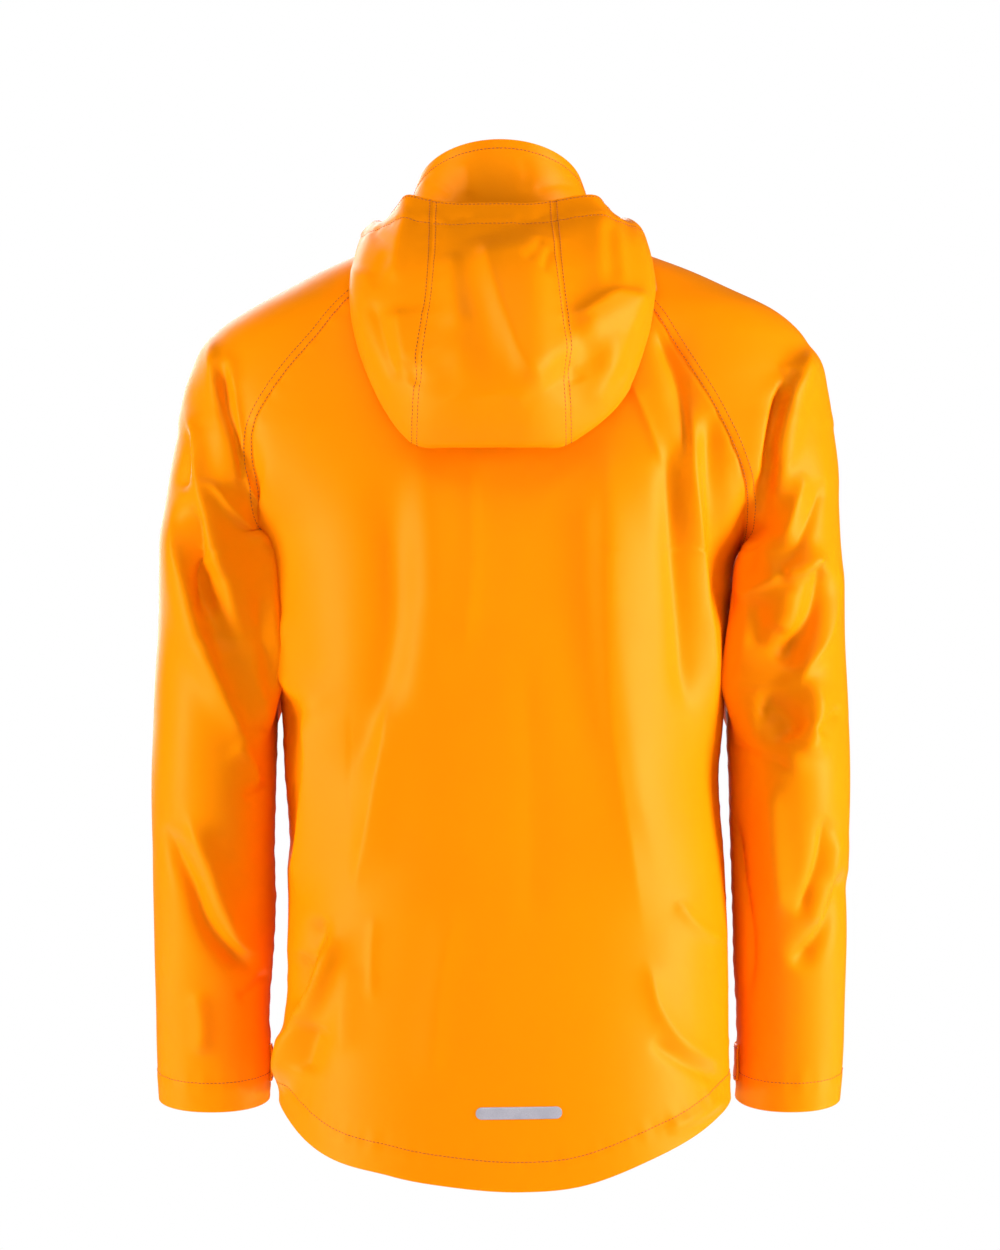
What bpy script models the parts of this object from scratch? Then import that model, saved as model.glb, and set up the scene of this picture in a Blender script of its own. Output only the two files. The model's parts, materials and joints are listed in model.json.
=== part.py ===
"""Hooded pullover rain anorak in orange coated cloth, in the shape it has when worn, with nobody in it.

Metres, +Z up. The front faces -Y, so the wearer's left is +X. The origin is the middle of the neck,
level with the base of the collar at the back. Tables are in millimetres. Every cloth piece is a wall
with an outer and an inner face.
"""

import math
from collections import namedtuple

import bmesh
import bpy
import numpy as np
from mathutils import Matrix, Vector
from mathutils.bvhtree import BVHTree

MM = 0.001
WALL = 1.6  # coated cloth with its knitted backing
SEAM_GAP = 0.4  # two pieces lie this far apart along their seam
OVAL = 2.35  # exponent of the body's flattened oval sections
SLEEVE_OVAL = 2.15
ARMPIT = -250.0  # level where back, front and sleeve meet
HEM_SIDE = -686.0  # level of the hem at the side seams
CUFF = -690.0
CUFF_TILT = 0.2  # the cuff hangs lower at the back by this share of its depth
NECK_FADE = 190.0  # how far down the rows still follow the neckline
HEM_FADE = 190.0
RING_FADE = 60.0  # the top rows leave the neckline's ring within this
SLIT_TURN = 177.8  # the slit for the zip meets the neckline at this turn on either side
TUBE_FROM = -110.0  # from here down to the armpit a sleeve closes from an arc into a tube
SLEEVE_WIDTH_FROM = -152.0  # below this a sleeve's own outer width counts, not the body's
WIDEST_SEAM = 0.97  # share of a sleeve's depth that its open arc may span
SLEEVE_SEAM_BLEND = 0.3  # share of a sleeve's girth that is drawn to its raglan seam
CUFF_FADE = 150.0  # the cuff's tilt starts this far above it
BACK_RAGLAN_TURN = 38.0  # where the raglan seams leave the neckline, in degrees from the centre back
FRONT_RAGLAN_TURN = 133.0
LEFT = 1.0
RIGHT = -1.0


def table(columns, *rows):
    """A table with one named array for each column."""
    return dict(zip(columns.split(), np.array(rows, float).T))


# Sections through the body: the left and right half widths, and how far the back and front stand out.
BODY = table(
    "level left right back front",
    (8, 70, 70, 62, 57),
    (0, 84, 86, 68, 61),
    (-8, 102, 106, 73, 64),
    (-16, 121, 128, 78, 66.5),
    (-24, 139, 149, 83, 68.5),
    (-40, 170, 184, 91, 73),
    (-56, 200, 217, 98.5, 79),
    (-72, 224, 237, 105, 85.5),
    (-88, 238, 248, 111, 92.5),
    (-104, 246, 256, 116.5, 99),
    (-120, 252, 260.5, 121, 106),
    (-136, 255, 264, 125, 112),
    (-152, 256, 266, 128.5, 117.5),
    (-168, 247, 256, 131, 122),
    (-184, 234, 243, 133.5, 126),
    (-200, 218, 229, 135.5, 129.5),
    (-216, 203, 215, 137, 132),
    (-232, 192, 202, 138, 134),
    (-250, 186, 191, 139, 136),
    (-290, 181, 184.5, 140.5, 138),
    (-340, 176.5, 178.5, 141.5, 139),
    (-392, 174, 175.5, 142, 139),
    (-424, 173, 174, 142, 139),
    (-456, 171, 175.5, 142, 139),
    (-488, 170, 178.5, 142, 139),
    (-536, 169.5, 181, 142, 138.5),
    (-584, 171.5, 182.5, 141.5, 138),
    (-632, 174, 183, 141, 137),
    (-686, 176, 184.5, 140.5, 136),
    (-760, 176, 184.5, 140, 136),
)
# The neckline, as a ring that dips at the front.
NECK = table(
    "turn x y z",
    (0, 0, 70, -4),
    (15, 20, 69, -3.5),
    (30, 38.5, 62.5, -2),
    (45, 54, 51, 0.5),
    (60, 65, 36, 3),
    (75, 72, 18, 5),
    (90, 74.5, -2, 5),
    (105, 73, -22, 3),
    (120, 68.5, -42, -5),
    (135, 60, -60, -22),
    (150, 47, -73, -45),
    (165, 27, -82, -65),
    (180, 0, -86, -75),
)
# The raglan seams: how far each lies from the middle, level by level.
RAGLAN = table(
    "level left right front",
    (0, 46, 45, 46),
    (-20, 77, 73, 61),
    (-52, 118, 111, 96),
    (-84, 144, 134, 124),
    (-110, 166, 150, 141),
    (-133, 182, 164, 154),
    (-150, 191, 173, 163),
    (-165, 194, 180, 169),
    (-180, 194, 186, 175),
    (-196, 190.5, 191, 179.5),
    (-212, 187.5, 194, 182),
    (-226, 186.8, 194, 184),
    (-238, 186.6, 193.5, 185.2),
    (-246, 186.3, 192, 186),
    (-250, 186, 191, 186),
)
# Sections through the sleeves from the armpit down; the upper rows only lead into the shoulder.
SLEEVE = table(
    "level left_in left_out right_in right_out middle depth",
    (-100, 158, 246, 160, 256, 3, 98),
    (-152, 172, 256, 176, 266, 3, 91),
    (-184, 181, 262.5, 186, 270.5, 1, 86.5),
    (-216, 184.5, 266.5, 190, 271.5, 0, 82),
    (-250, 186, 268, 191, 273, 0, 79),
    (-262, 189, 269, 194, 273.5, -1, 78.5),
    (-290, 187, 271, 190.5, 274.6, -4, 77.5),
    (-320, 184, 273.2, 187.5, 275.6, -5, 76),
    (-350, 180.5, 275.8, 185, 277, -4, 74),
    (-384, 178, 277, 182.5, 278.2, 0, 72),
    (-424, 178.6, 278.4, 183.2, 279.2, 3, 70),
    (-488, 180, 278.5, 184.5, 279.2, -5, 64),
    (-536, 179, 278.8, 186, 279.5, -15, 58),
    (-584, 182, 279, 187.5, 279, -27, 52),
    (-616, 185, 278.5, 190, 278.5, -36, 48),
    (-648, 186, 278, 191.5, 278, -44, 45),
    (-700, 187.5, 275, 192, 274, -53, 43),
)
# How low the hem of the back hangs across its width; the front hem is straight.
BACK_HEM = table(
    "x level",
    (-184.5, -686),
    (-163, -701),
    (-113, -725),
    (-63, -742),
    (-15, -746),
    (40, -742),
    (84, -735),
    (157, -707),
    (176, -686),
)
# The hood thrown back, station by station from the centre back round to the throat. Each station runs from the
# neck seam (at turn) under the hood, round its fold, up its belly and its slope to the face edge.
HOOD = table(
    "turn under_x under_y under_z fold_x fold_y fold_z belly_x belly_y belly_z "
    "slope_x slope_y slope_z edge_x edge_y edge_z right_share",
    (0, 0, 121, -95, 0, 165, -172, 0, 197, -132, 0, 178, -48, 0, 112, 20, 1),
    (17, 34, 119, -95, 33, 164, -172, 34, 195, -132, 30, 175, -48, 30, 110, 20, 0.8),
    (36, 62, 110, -90, 66, 152, -169, 64, 181, -128, 54, 160, -44, 52, 102, 23, 0.8),
    (50, 84, 96, -70, 91, 137, -139, 92, 157, -106, 80, 140, -33, 72, 92, 28, 1),
    (66, 98, 80, -43, 111, 112, -90, 112, 128, -68, 98, 114, -18, 80, 77, 21, 1.02),
    (80, 103, 56, -18, 116, 80, -48, 117, 93, -34, 105, 84, -2, 87, 55, 13, 1.02),
    (95, 97, 22, 3, 107, 38, -6, 109, 44, 3, 101, 40, 11, 90, 28, 10, 1.02),
    (108, 89, -12, 5, 97, -8, 3, 98, -4, 9, 95, -4, 14, 87, -6, 12, 1),
    (121, 80, -44, -4, 85, -43, -1, 86, -42, 4, 83, -42, 7, 78, -43, 5, 1),
    (135, 69, -64, -18, 73, -65, -15, 74, -64, -10, 72, -64, -8, 68, -64, -9, 1),
    (150, 53, -79, -41, 56, -81, -38, 57, -81, -33, 55, -81, -31, 51, -80, -32, 1),
    (163, 34, -87, -59, 36, -89, -56, 37, -89, -52, 35, -89, -50, 32, -88, -51, 1),
)
HOOD_SEAM_STATION = 2  # the side panels of the hood are joined to its centre panel here

VIEW_DISTANCE = 4000.0  # fold routes are written as seen from this far behind,
VIEW_LEVEL = -308.0  # at this level
VIEW_BACK = 1.0
VIEW_FRONT = -1.0
FOLD_TAPER = 0.22  # a fold grows over this share of its length at each end,
FOLD_END = 0.1  # from this much
FOLD_ROUND = 0.2  # it fades where the cloth turns away past the side by this much of its normal,
FOLD_TURN = 0.5  # over this much

# Each fold is a soft ridge (or a trough, where its height is negative) along a route of (x, level),
# seen from behind.
# Its spread is how far it reaches to the wearer's left and right of the route.
Fold = namedtuple("Fold", "face height spread_left spread_right route")
BODY_FOLDS = (
    Fold(VIEW_BACK, 4.5, 16, 34, ((-89, -152), (-90, -288), (-101, -384), (-118, -472), (-141, -516))),
    Fold(VIEW_BACK, -2.5, 30, 16, ((-68, -184), (-68, -320), (-80, -432))),
    Fold(VIEW_BACK, 3, 22, 26, ((56, -160), (56, -292), (69, -384))),
    Fold(VIEW_BACK, -4.5, 22, 20, ((88, -168), (90, -320), (125, -440))),
    Fold(VIEW_BACK, 3, 16, 16, ((90, -360), (104, -512))),
    Fold(VIEW_BACK, 3.5, 12, 12, ((178, -296), (168, -349), (136, -378))),
    Fold(VIEW_BACK, -4, 12, 14, ((-129, -64), (-143, -114), (-149, -163), (-146, -216))),
    Fold(VIEW_BACK, 5, 14, 12, ((-153, -124), (-160, -254), (-169, -352), (-176, -432))),
    Fold(VIEW_BACK, 4, 12, 14, ((124, -544), (146, -601), (163, -632), (174, -682))),
    Fold(VIEW_FRONT, 4, 22, 18, ((92, -190), (88, -320), (70, -450))),
    Fold(VIEW_FRONT, -4, 18, 22, ((-84, -210), (-96, -340), (-120, -470))),
    Fold(VIEW_FRONT, 4.5, 18, 26, ((-52, -360), (-60, -500), (-84, -640))),
    Fold(VIEW_FRONT, -4, 24, 18, ((44, -400), (58, -520), (96, -650))),
    Fold(VIEW_FRONT, 4, 14, 14, ((140, -120), (150, -220), (158, -330))),
    Fold(VIEW_FRONT, 4, 14, 14, ((-136, -130), (-150, -230), (-164, -350))),
)
LEFT_SLEEVE_FOLDS = (
    Fold(VIEW_BACK, 4.5, 12, 12, ((231, -76), (228, -100), (222, -138), (214, -200))),
    Fold(VIEW_BACK, -6, 12, 12, ((219, -100), (214, -130), (207, -163), (200, -196), (187, -224))),
    Fold(VIEW_BACK, 5, 12, 12, ((250, -128), (243, -163), (239, -196), (231, -237), (222, -264), (210, -314))),
    Fold(VIEW_BACK, 5, 13, 10, ((262, -204), (257, -262), (248, -299), (236, -330), (208, -396))),
    Fold(VIEW_BACK, -6, 12, 14, ((236, -256), (230, -296), (229, -332))),
    Fold(VIEW_BACK, -4, 12, 11, ((267, -468), (248, -515), (234, -550), (218, -570), (194, -587))),
    Fold(VIEW_BACK, 4, 12, 12, ((246, -460), (228, -512), (210, -552), (187, -570))),
    Fold(VIEW_FRONT, 4.5, 14, 14, ((236, -150), (226, -230), (212, -310))),
    Fold(VIEW_FRONT, -5, 14, 14, ((196, -370), (226, -392), (262, -388))),
    Fold(VIEW_FRONT, 4, 13, 13, ((196, -400), (228, -424), (262, -420))),
    Fold(VIEW_FRONT, -4, 14, 14, ((262, -470), (236, -530), (204, -566))),
)
RIGHT_SLEEVE_FOLDS = (
    Fold(VIEW_BACK, 6, 12, 11, ((-250, -84), (-239, -111), (-230, -138), (-221, -188), (-211, -214))),
    Fold(VIEW_BACK, -7, 11, 11, ((-226, -112), (-222, -138), (-215, -179), (-210, -212), (-202, -240))),
    Fold(VIEW_BACK, 5, 12, 12, ((-189, -291), (-228, -265), (-266, -256))),
    Fold(VIEW_BACK, -5.5, 12, 12, ((-262, -264), (-250, -298), (-238, -324), (-219, -342))),
    Fold(VIEW_BACK, 4, 12, 12, ((-245, -360), (-251, -384), (-245, -404), (-224, -419))),
    Fold(VIEW_BACK, -3.5, 12, 12, ((-274, -502), (-257, -554), (-232, -582))),
    Fold(VIEW_FRONT, 4.5, 14, 14, ((-242, -140), (-230, -220), (-216, -300))),
    Fold(VIEW_FRONT, -5, 14, 14, ((-200, -356), (-230, -384), (-264, -372))),
    Fold(VIEW_FRONT, 4, 13, 13, ((-200, -392), (-232, -414), (-264, -404))),
    Fold(VIEW_FRONT, -4, 14, 14, ((-266, -450), (-242, -520), (-208, -548))),
)
HOOD_CLEARANCE = 3.0  # how far the hood's underside stays off the back and shoulders
HOOD_SEAM_OUT = 1.1  # its neck edge lies this far out from the neckline,
HOOD_SEAM_UP = 1.2  # and this far above it
HOOD_CLEAR_FROM = 0.12  # share of its length over which it comes clear of the back

COLLAR_HALF_WIDTH = 66.0
COLLAR_BACK = 74.0
COLLAR_FRONT = 79.0
COLLAR_SIDE_TOP = 38.0  # level of the collar's top edge over the shoulders
COLLAR_TILT = 0.48  # its top edge falls by this share towards the front
COLLAR_BOW = 2.5
COLLAR_LIFT = 0.7

ZIP_SLIT = 4.0  # half the slit in the front
ZIP_BOTTOM = -330.0
ZIP_TEETH = 2.8  # half the width of the closed teeth
ZIP_TAPE = 10.5  # how far a tape reaches from the middle, behind the front's edge
TAPE_WALL = 1.0
TAPE_DEPTH = WALL + 0.3
TAPE_EDGE = 0.2  # the two tapes stop this far either side of the middle
ON_TAPE = 0.3  # the teeth stand this far off the tapes,
TEETH_PROUD = 0.4  # and this far out of the cloth's face
ZIP_FOOT_GAP = 0.8  # the teeth stop this far above the slit's foot
ZIP_END = 8.0  # teeth and tapes end this far below the collar's top edge
SLIDER_TOP = 4.5
SLIDER_HEIGHT = 11.0
SLIDER_HALF_WIDTH = 3.7
SLIDER_OUT = (-4.6, 2.2)  # from its rear face to its front face, out from the cloth's face
CHANNEL_HALF_WIDTH = 3.1  # the teeth run in this channel,
CHANNEL_OUT = (-3.2, 0.7)
CHANNEL_TOP = -3.2  # which starts this far down from the slider's top
TAPE_SLOT_OUT = (-3.2, -1.55)  # the tapes leave it through slots at the sides
LUG_INNER = 1.9  # the pull's pin is held in two lugs
LUG_OUTER = 2.9
LUG_HALF_HEIGHT = 1.4
LUG_PAST_PIN = 1.2
PIN_HALF_LENGTH = 2.4
PIN_OUT = 4.2  # the pull's pin stands this far in front of the collar's face
PIN_DROP = 3.0
PIN_RADIUS = 0.5
PULL_LENGTH = 20.0
PULL_HALF_WIDTH = 2.6
PULL_THICKNESS = 1.4
PULL_EYE_RADIUS = 1.5
PULL_NECK_HALF_WIDTH = 1.55
PULL_NECK = (-3.5, -0.5)  # from the plate up to the eye
PULL_PLATE_TOP = -3.0
PULL_ROUNDING = 0.4
PIN_CLEARANCE = 0.35
PULL_SETTLE = 4.0  # degrees by which its tip lies closer to the teeth than its pin does

STRIP_MIDDLE = (-14.6, -684.8)  # the reflective strip low on the back: x, level
STRIP_SIZE = (64.5, 9.4)
STRIP_RISE = 0.012  # it climbs by this share to the wearer's right
STRIP_THICKNESS = 0.8
STRIP_END = 0.3  # its round ends are cut off at this share of its height
BEHIND_ALL = 400.0  # a place behind the whole garment
CUFF_TAB_LEVELS = (-646.0, -676.0)
CUFF_TAB_THICKNESS = 2.0
CUFF_TAB_COLUMNS = (19, 20, 21, 22, 23, 0, 1)  # the sleeve's columns that a tab covers, round its inner edge
LYING_ON = 0.5  # pieces sewn on a panel stand this far off its facets


def curve_at(columns, key, value, places):
    """Reads a column of a table on a smooth curve through its rows."""
    order = np.argsort(columns[key])
    knots = columns[key][order]
    values = columns[value][order]
    steps = np.diff(knots)
    slopes = np.diff(values) / steps
    tangents = np.empty_like(values)
    tangents[1:-1] = (slopes[:-1] * steps[1:] + slopes[1:] * steps[:-1]) / (steps[:-1] + steps[1:])
    tangents[0] = slopes[0]
    tangents[-1] = slopes[-1]
    places = np.clip(places, knots[0], knots[-1])
    row = np.clip(np.searchsorted(knots, places) - 1, 0, len(steps) - 1)
    step = steps[row]
    s = (places - knots[row]) / step
    start = (1 + 2 * s) * (1 - s) ** 2 * values[row] + s * (1 - s) ** 2 * step * tangents[row]
    end = s * s * (3 - 2 * s) * values[row + 1] + s * s * (s - 1) * step * tangents[row + 1]
    return start + end


def smoothstep(s):
    s = np.clip(s, 0.0, 1.0)
    return s * s * (3 - 2 * s)


def power(value, exponent):
    return np.sign(value) * np.abs(value) ** exponent


def half_width(side, level):
    return curve_at(BODY, "level", "left" if side > 0 else "right", level)


def body_point(turn, level):
    """The body's surface at a turn from the centre back, positive towards the wearer's left."""
    sine = np.sin(np.radians(turn))
    cosine = np.cos(np.radians(turn))
    width = np.where(sine > 0, half_width(LEFT, level), half_width(RIGHT, level))
    back = curve_at(BODY, "level", "back", level)
    front = curve_at(BODY, "level", "front", level)
    x = width * power(sine, 2 / OVAL)
    y = np.where(cosine > 0, back, front) * power(cosine, 2 / OVAL)
    return np.stack([x, y, level + 0 * x], axis=-1)


def turn_at(x, width):
    """The turn at which an oval of this half width is x from the middle."""
    return np.degrees(np.arcsin(np.clip(x / width, 0, 1) ** (OVAL / 2)))


def back_edge_turn(side, level):
    x = curve_at(RAGLAN, "level", "left" if side > 0 else "right", level)
    return np.where(level > ARMPIT, turn_at(x, half_width(side, level)), 90.0)


def front_edge_turn(side, level):
    x = curve_at(RAGLAN, "level", "front", level)
    width = half_width(LEFT, level)
    return 180 - np.where(level > ARMPIT, turn_at(x, width), 90.0)


def neck_point(turn):
    """The neckline at a turn from the centre back, positive towards the wearer's left."""
    x = np.sign(turn) * curve_at(NECK, "turn", "x", np.abs(turn))
    y = curve_at(NECK, "turn", "y", np.abs(turn))
    z = curve_at(NECK, "turn", "z", np.abs(turn))
    return np.stack([x, y, z], axis=-1)


def neck_pull(row):
    """How much a row follows the neckline: all of it at the top row and nothing further down."""
    return 1 - smoothstep(-row / NECK_FADE)


def ring_pull(row):
    return 1 - smoothstep(-row / RING_FADE)


def hem_pull(row):
    return smoothstep((HEM_SIDE + HEM_FADE - row) / HEM_FADE)


def rows_between(*bands):
    """Row levels from bands of (lowest level, number of rows), counted down from 0."""
    rows = [0.0]
    for lowest, count in bands:
        rows.extend(np.linspace(rows[-1], lowest, count + 1)[1:])
    return np.array(rows)


def smooth_route(route, steps=6):
    """The route as a smooth line of many short pieces."""
    route = np.array(route, float)
    along = np.concatenate([[0], np.cumsum(np.linalg.norm(np.diff(route, axis=0), axis=1))])
    places = np.linspace(0, along[-1], steps * (len(route) - 1) + 1)
    path = {"along": along, "x": route[:, 0], "z": route[:, 1]}
    return np.stack([curve_at(path, "along", "x", places), curve_at(path, "along", "z", places)], axis=-1)


def fold_heights(points, normals, folds):
    """How far each point is lifted along its normal by the folds."""
    away = VIEW_DISTANCE / (VIEW_DISTANCE - points[:, 1])
    seen = np.stack([points[:, 0] * away, VIEW_LEVEL + (points[:, 2] - VIEW_LEVEL) * away], axis=-1)
    lift = np.zeros(len(points))
    for fold in folds:
        route = smooth_route(fold.route)
        lengths = np.linalg.norm(np.diff(route, axis=0), axis=1)
        before = np.concatenate([[0], np.cumsum(lengths)])
        nearest = np.full(len(points), 1e9)
        along = np.zeros(len(points))
        across = np.zeros(len(points))
        for number, length in enumerate(lengths):
            step = (route[number + 1] - route[number]) / length
            offset = seen - route[number]
            share = np.clip(offset @ step, 0, length)
            distance = np.linalg.norm(offset - share[:, None] * step, axis=1)
            closer = distance < nearest
            nearest = np.where(closer, distance, nearest)
            along = np.where(closer, before[number] + share, along)
            across = np.where(closer, offset[:, 0] * step[1] - offset[:, 1] * step[0], across)
        along /= before[-1]
        spread = np.where(across < 0, fold.spread_left, fold.spread_right)
        ends = smoothstep(np.minimum(along, 1 - along) / FOLD_TAPER + FOLD_END)
        faces_it = smoothstep((fold.face * normals[:, 1] + FOLD_ROUND) / FOLD_TURN)
        lift += fold.height * np.exp(-((nearest / spread) ** 2)) * ends * faces_it
    return lift


def folded(sheets, folds, fixed=()):
    """The sheets with their folds raised along the normals that they share."""
    normals = shared_normals(sheets, fixed)
    result = {}
    for name, sheet in sheets.items():
        way = normals[name][0]
        lift = fold_heights(sheet.points, way, folds)
        result[name] = sheet._replace(points=sheet.points + way * lift[:, None])
    return result


def body_distance(points):
    """About how far each point is outside the body's sections."""

    def oval(places):
        width = np.where(
            places[:, 0] > 0,
            half_width(LEFT, places[:, 2]),
            half_width(RIGHT, places[:, 2]),
        )
        back = curve_at(BODY, "level", "back", places[:, 2])
        front = curve_at(BODY, "level", "front", places[:, 2])
        depth = np.where(places[:, 1] > 0, back, front)
        reach = np.abs(places[:, 0] / width) ** OVAL + np.abs(places[:, 1] / depth) ** OVAL
        return reach ** (1 / OVAL) - 1

    value = oval(points)
    step = 0.5
    slope = np.stack(
        [(oval(points + step * axis) - oval(points - step * axis)) / (2 * step) for axis in np.eye(3)],
        axis=-1,
    )
    steepness = np.maximum(np.linalg.norm(slope, axis=1), 1e-6)
    return value / steepness, slope / steepness[:, None]


def clear_of_body(points, clearance):
    for _ in range(4):
        distance, way = body_distance(points)
        points = points + way * np.maximum(clearance - distance, 0)[:, None]
    return points


BODY_ROWS = rows_between((-96, 6), (-208, 6), (ARMPIT, 6), (-330, 3), (HEM_SIDE, 12))
BACK_COLUMNS = 22
FRONT_COLUMNS = 10
SLEEVE_COLUMNS = 24
HOOD_COLUMNS = (6, 12)  # across the centre panel and across each side panel
HOOD_LANES = 16
COLLAR_COLUMNS = 44
COLLAR_ROWS = 3

Sheet = namedtuple("Sheet", "points faces shape")


def grid_faces(rows, columns, flip=False, skip=()):
    """Quads of a grid, wound to face out where the columns run clockwise seen from above."""
    faces = []
    for row in range(rows - 1):
        for column in range(columns - 1):
            if (row, column) in skip:
                continue
            a = row * columns + column
            face = (a, a + columns, a + columns + 1, a + 1)
            faces.append(face[::-1] if flip else face)
    return faces


def body_grid(turn_from, turn_to, shares, neck_turns, hem_drop):
    """Points of a panel of the body between two edges that are given as turns at a level."""
    rows = BODY_ROWS[:, None]
    neck = neck_point(neck_turns)[None, :, :]
    levels = rows + neck[:, :, 2] * neck_pull(rows)
    for _ in range(3):
        turns = turn_from(levels) + (turn_to(levels) - turn_from(levels)) * shares
        points = body_point(turns, levels)
        drop = hem_drop(points)
        levels = rows + neck[:, :, 2] * neck_pull(rows) + drop * hem_pull(rows)
    points = body_point(turns, levels)
    points = points + (neck - points[:1]) * ring_pull(rows)[:, :, None]
    return points


def back_hem_drop(points):
    """How far the back's hem hangs below its side seams, read across the width at each level."""
    x = points[:, :, 0]
    side = np.where(x > 0, LEFT, RIGHT)
    here = np.where(side > 0, half_width(LEFT, points[:, :, 2]), half_width(RIGHT, points[:, :, 2]))
    at_hem = np.where(side > 0, half_width(LEFT, HEM_SIDE), half_width(RIGHT, HEM_SIDE))
    return curve_at(BACK_HEM, "x", "level", x / here * at_hem) - HEM_SIDE


def back_sheet():
    shares = np.linspace(0, 1, BACK_COLUMNS + 1)[None, :]
    neck_turns = BACK_RAGLAN_TURN * (1 - 2 * shares[0])
    points = body_grid(
        lambda level: back_edge_turn(LEFT, level),
        lambda level: -back_edge_turn(RIGHT, level),
        shares,
        neck_turns,
        back_hem_drop,
    )
    rows, columns = points.shape[:2]
    return Sheet(points.reshape(-1, 3), grid_faces(rows, columns), (rows, columns))


def front_half(side):
    """Half of the front, from its side edge to the slit."""
    shares = np.linspace(0, 1, FRONT_COLUMNS + 1)[None, :]
    neck_turns = FRONT_RAGLAN_TURN + (SLIT_TURN - FRONT_RAGLAN_TURN) * shares[0]
    points = body_grid(
        lambda level: side * front_edge_turn(side, level),
        lambda level: side * (180 - turn_at(ZIP_SLIT, half_width(side, level))),
        shares,
        side * neck_turns,
        lambda points: 0.0,
    )
    return points


def front_sheet():
    """One panel, with a slit for the zip down the middle of its upper part."""
    points = np.concatenate([front_half(RIGHT), front_half(LEFT)[:, ::-1]], axis=1)
    rows, columns = points.shape[:2]
    middle = columns // 2 - 1
    slit = {(row, middle) for row in range(rows - 1) if BODY_ROWS[row + 1] >= ZIP_BOTTOM}
    points[:, middle, 0] = -ZIP_SLIT
    points[:, middle + 1, 0] = ZIP_SLIT
    return Sheet(points.reshape(-1, 3), grid_faces(rows, columns, skip=slit), (rows, columns))


def sleeve_column(side, name, level):
    return curve_at(SLEEVE, "level", ("left_" if side > 0 else "right_") + name, level)


def sleeve_sheet(side):
    """A raglan sleeve: an arc over the shoulder that closes into a tube below the armpit."""
    rows = BODY_ROWS[:, None].copy()
    below = rows < ARMPIT
    rows[below] = ARMPIT + (rows[below] - ARMPIT) * (CUFF - ARMPIT) / (HEM_SIDE - ARMPIT)
    share = np.linspace(0, 1, SLEEVE_COLUMNS + 1)[None, :]
    neck_turns = BACK_RAGLAN_TURN + (FRONT_RAGLAN_TURN - BACK_RAGLAN_TURN) * share[0]
    neck = neck_point(side * neck_turns)[None, :, :]
    levels = rows + neck[:, :, 2] * neck_pull(rows)

    back_turn = back_edge_turn(side, levels)
    front_turn = front_edge_turn(side, levels)
    back_seam = body_point(side * back_turn, levels)
    front_seam = body_point(side * front_turn, levels)
    own_width = sleeve_column(side, "out", levels)
    width = np.where(levels > SLEEVE_WIDTH_FROM, half_width(side, levels), own_width)
    arc_back = turn_at(np.abs(back_seam[:, :, 0]), width)
    arc_front = 180 - turn_at(np.abs(front_seam[:, :, 0]), width)
    arc_turn = np.radians(arc_back + (arc_front - arc_back) * share)
    depth = np.where(
        np.cos(arc_turn) > 0,
        curve_at(BODY, "level", "back", levels),
        curve_at(BODY, "level", "front", levels),
    )
    arc_x = width * power(np.sin(arc_turn), 2 / OVAL)
    arc_y = depth * power(np.cos(arc_turn), 2 / OVAL)

    inner = sleeve_column(side, "in", levels)
    outer = sleeve_column(side, "out", levels)
    middle = curve_at(SLEEVE, "level", "middle", levels)
    sleeve_depth = curve_at(SLEEVE, "level", "depth", levels)
    above = levels > ARMPIT + 0.01
    back_share = np.clip(back_seam[:, :, 1] / sleeve_depth, 0, WIDEST_SEAM)
    front_share = np.clip(-front_seam[:, :, 1] / sleeve_depth, 0, WIDEST_SEAM)
    start = np.where(above, np.arcsin(back_share), 0.0)
    end = np.where(above, np.arcsin(front_share), 0.0)
    angle = start + (2 * math.pi - start - end) * share
    oval_x = (inner + outer) / 2 - (outer - inner) / 2 * power(np.cos(angle), 2 / SLEEVE_OVAL)
    oval_y = middle + sleeve_depth * power(np.sin(angle), 2 / SLEEVE_OVAL)

    tube = smoothstep((TUBE_FROM - levels) / (TUBE_FROM - ARMPIT))
    x = arc_x + (oval_x - arc_x) * tube
    y = arc_y + (oval_y - arc_y) * tube
    drop = CUFF_TILT * (y - middle) * smoothstep((CUFF + CUFF_FADE - rows) / CUFF_FADE)
    points = np.stack([side * x, y, levels - drop], axis=-1)
    snap_back = np.where(above, 1 - smoothstep(share / SLEEVE_SEAM_BLEND), 0)[:, :, None]
    snap_front = np.where(above, 1 - smoothstep((1 - share) / SLEEVE_SEAM_BLEND), 0)[:, :, None]
    points = points + (back_seam[:, :1] - points[:, :1]) * snap_back
    points = points + (front_seam[:, -1:] - points[:, -1:]) * snap_front
    points = points + (neck - points[:1]) * ring_pull(rows)[:, :, None]
    armpit_row = int(np.argmin(np.abs(BODY_ROWS - ARMPIT)))
    points[armpit_row, 0] = points[armpit_row, -1] = (side * half_width(side, ARMPIT), 0, ARMPIT)
    count, columns = points.shape[:2]
    return Sheet(
        points.reshape(-1, 3),
        grid_faces(count, columns, flip=side > 0),
        (count, columns),
    )


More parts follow.
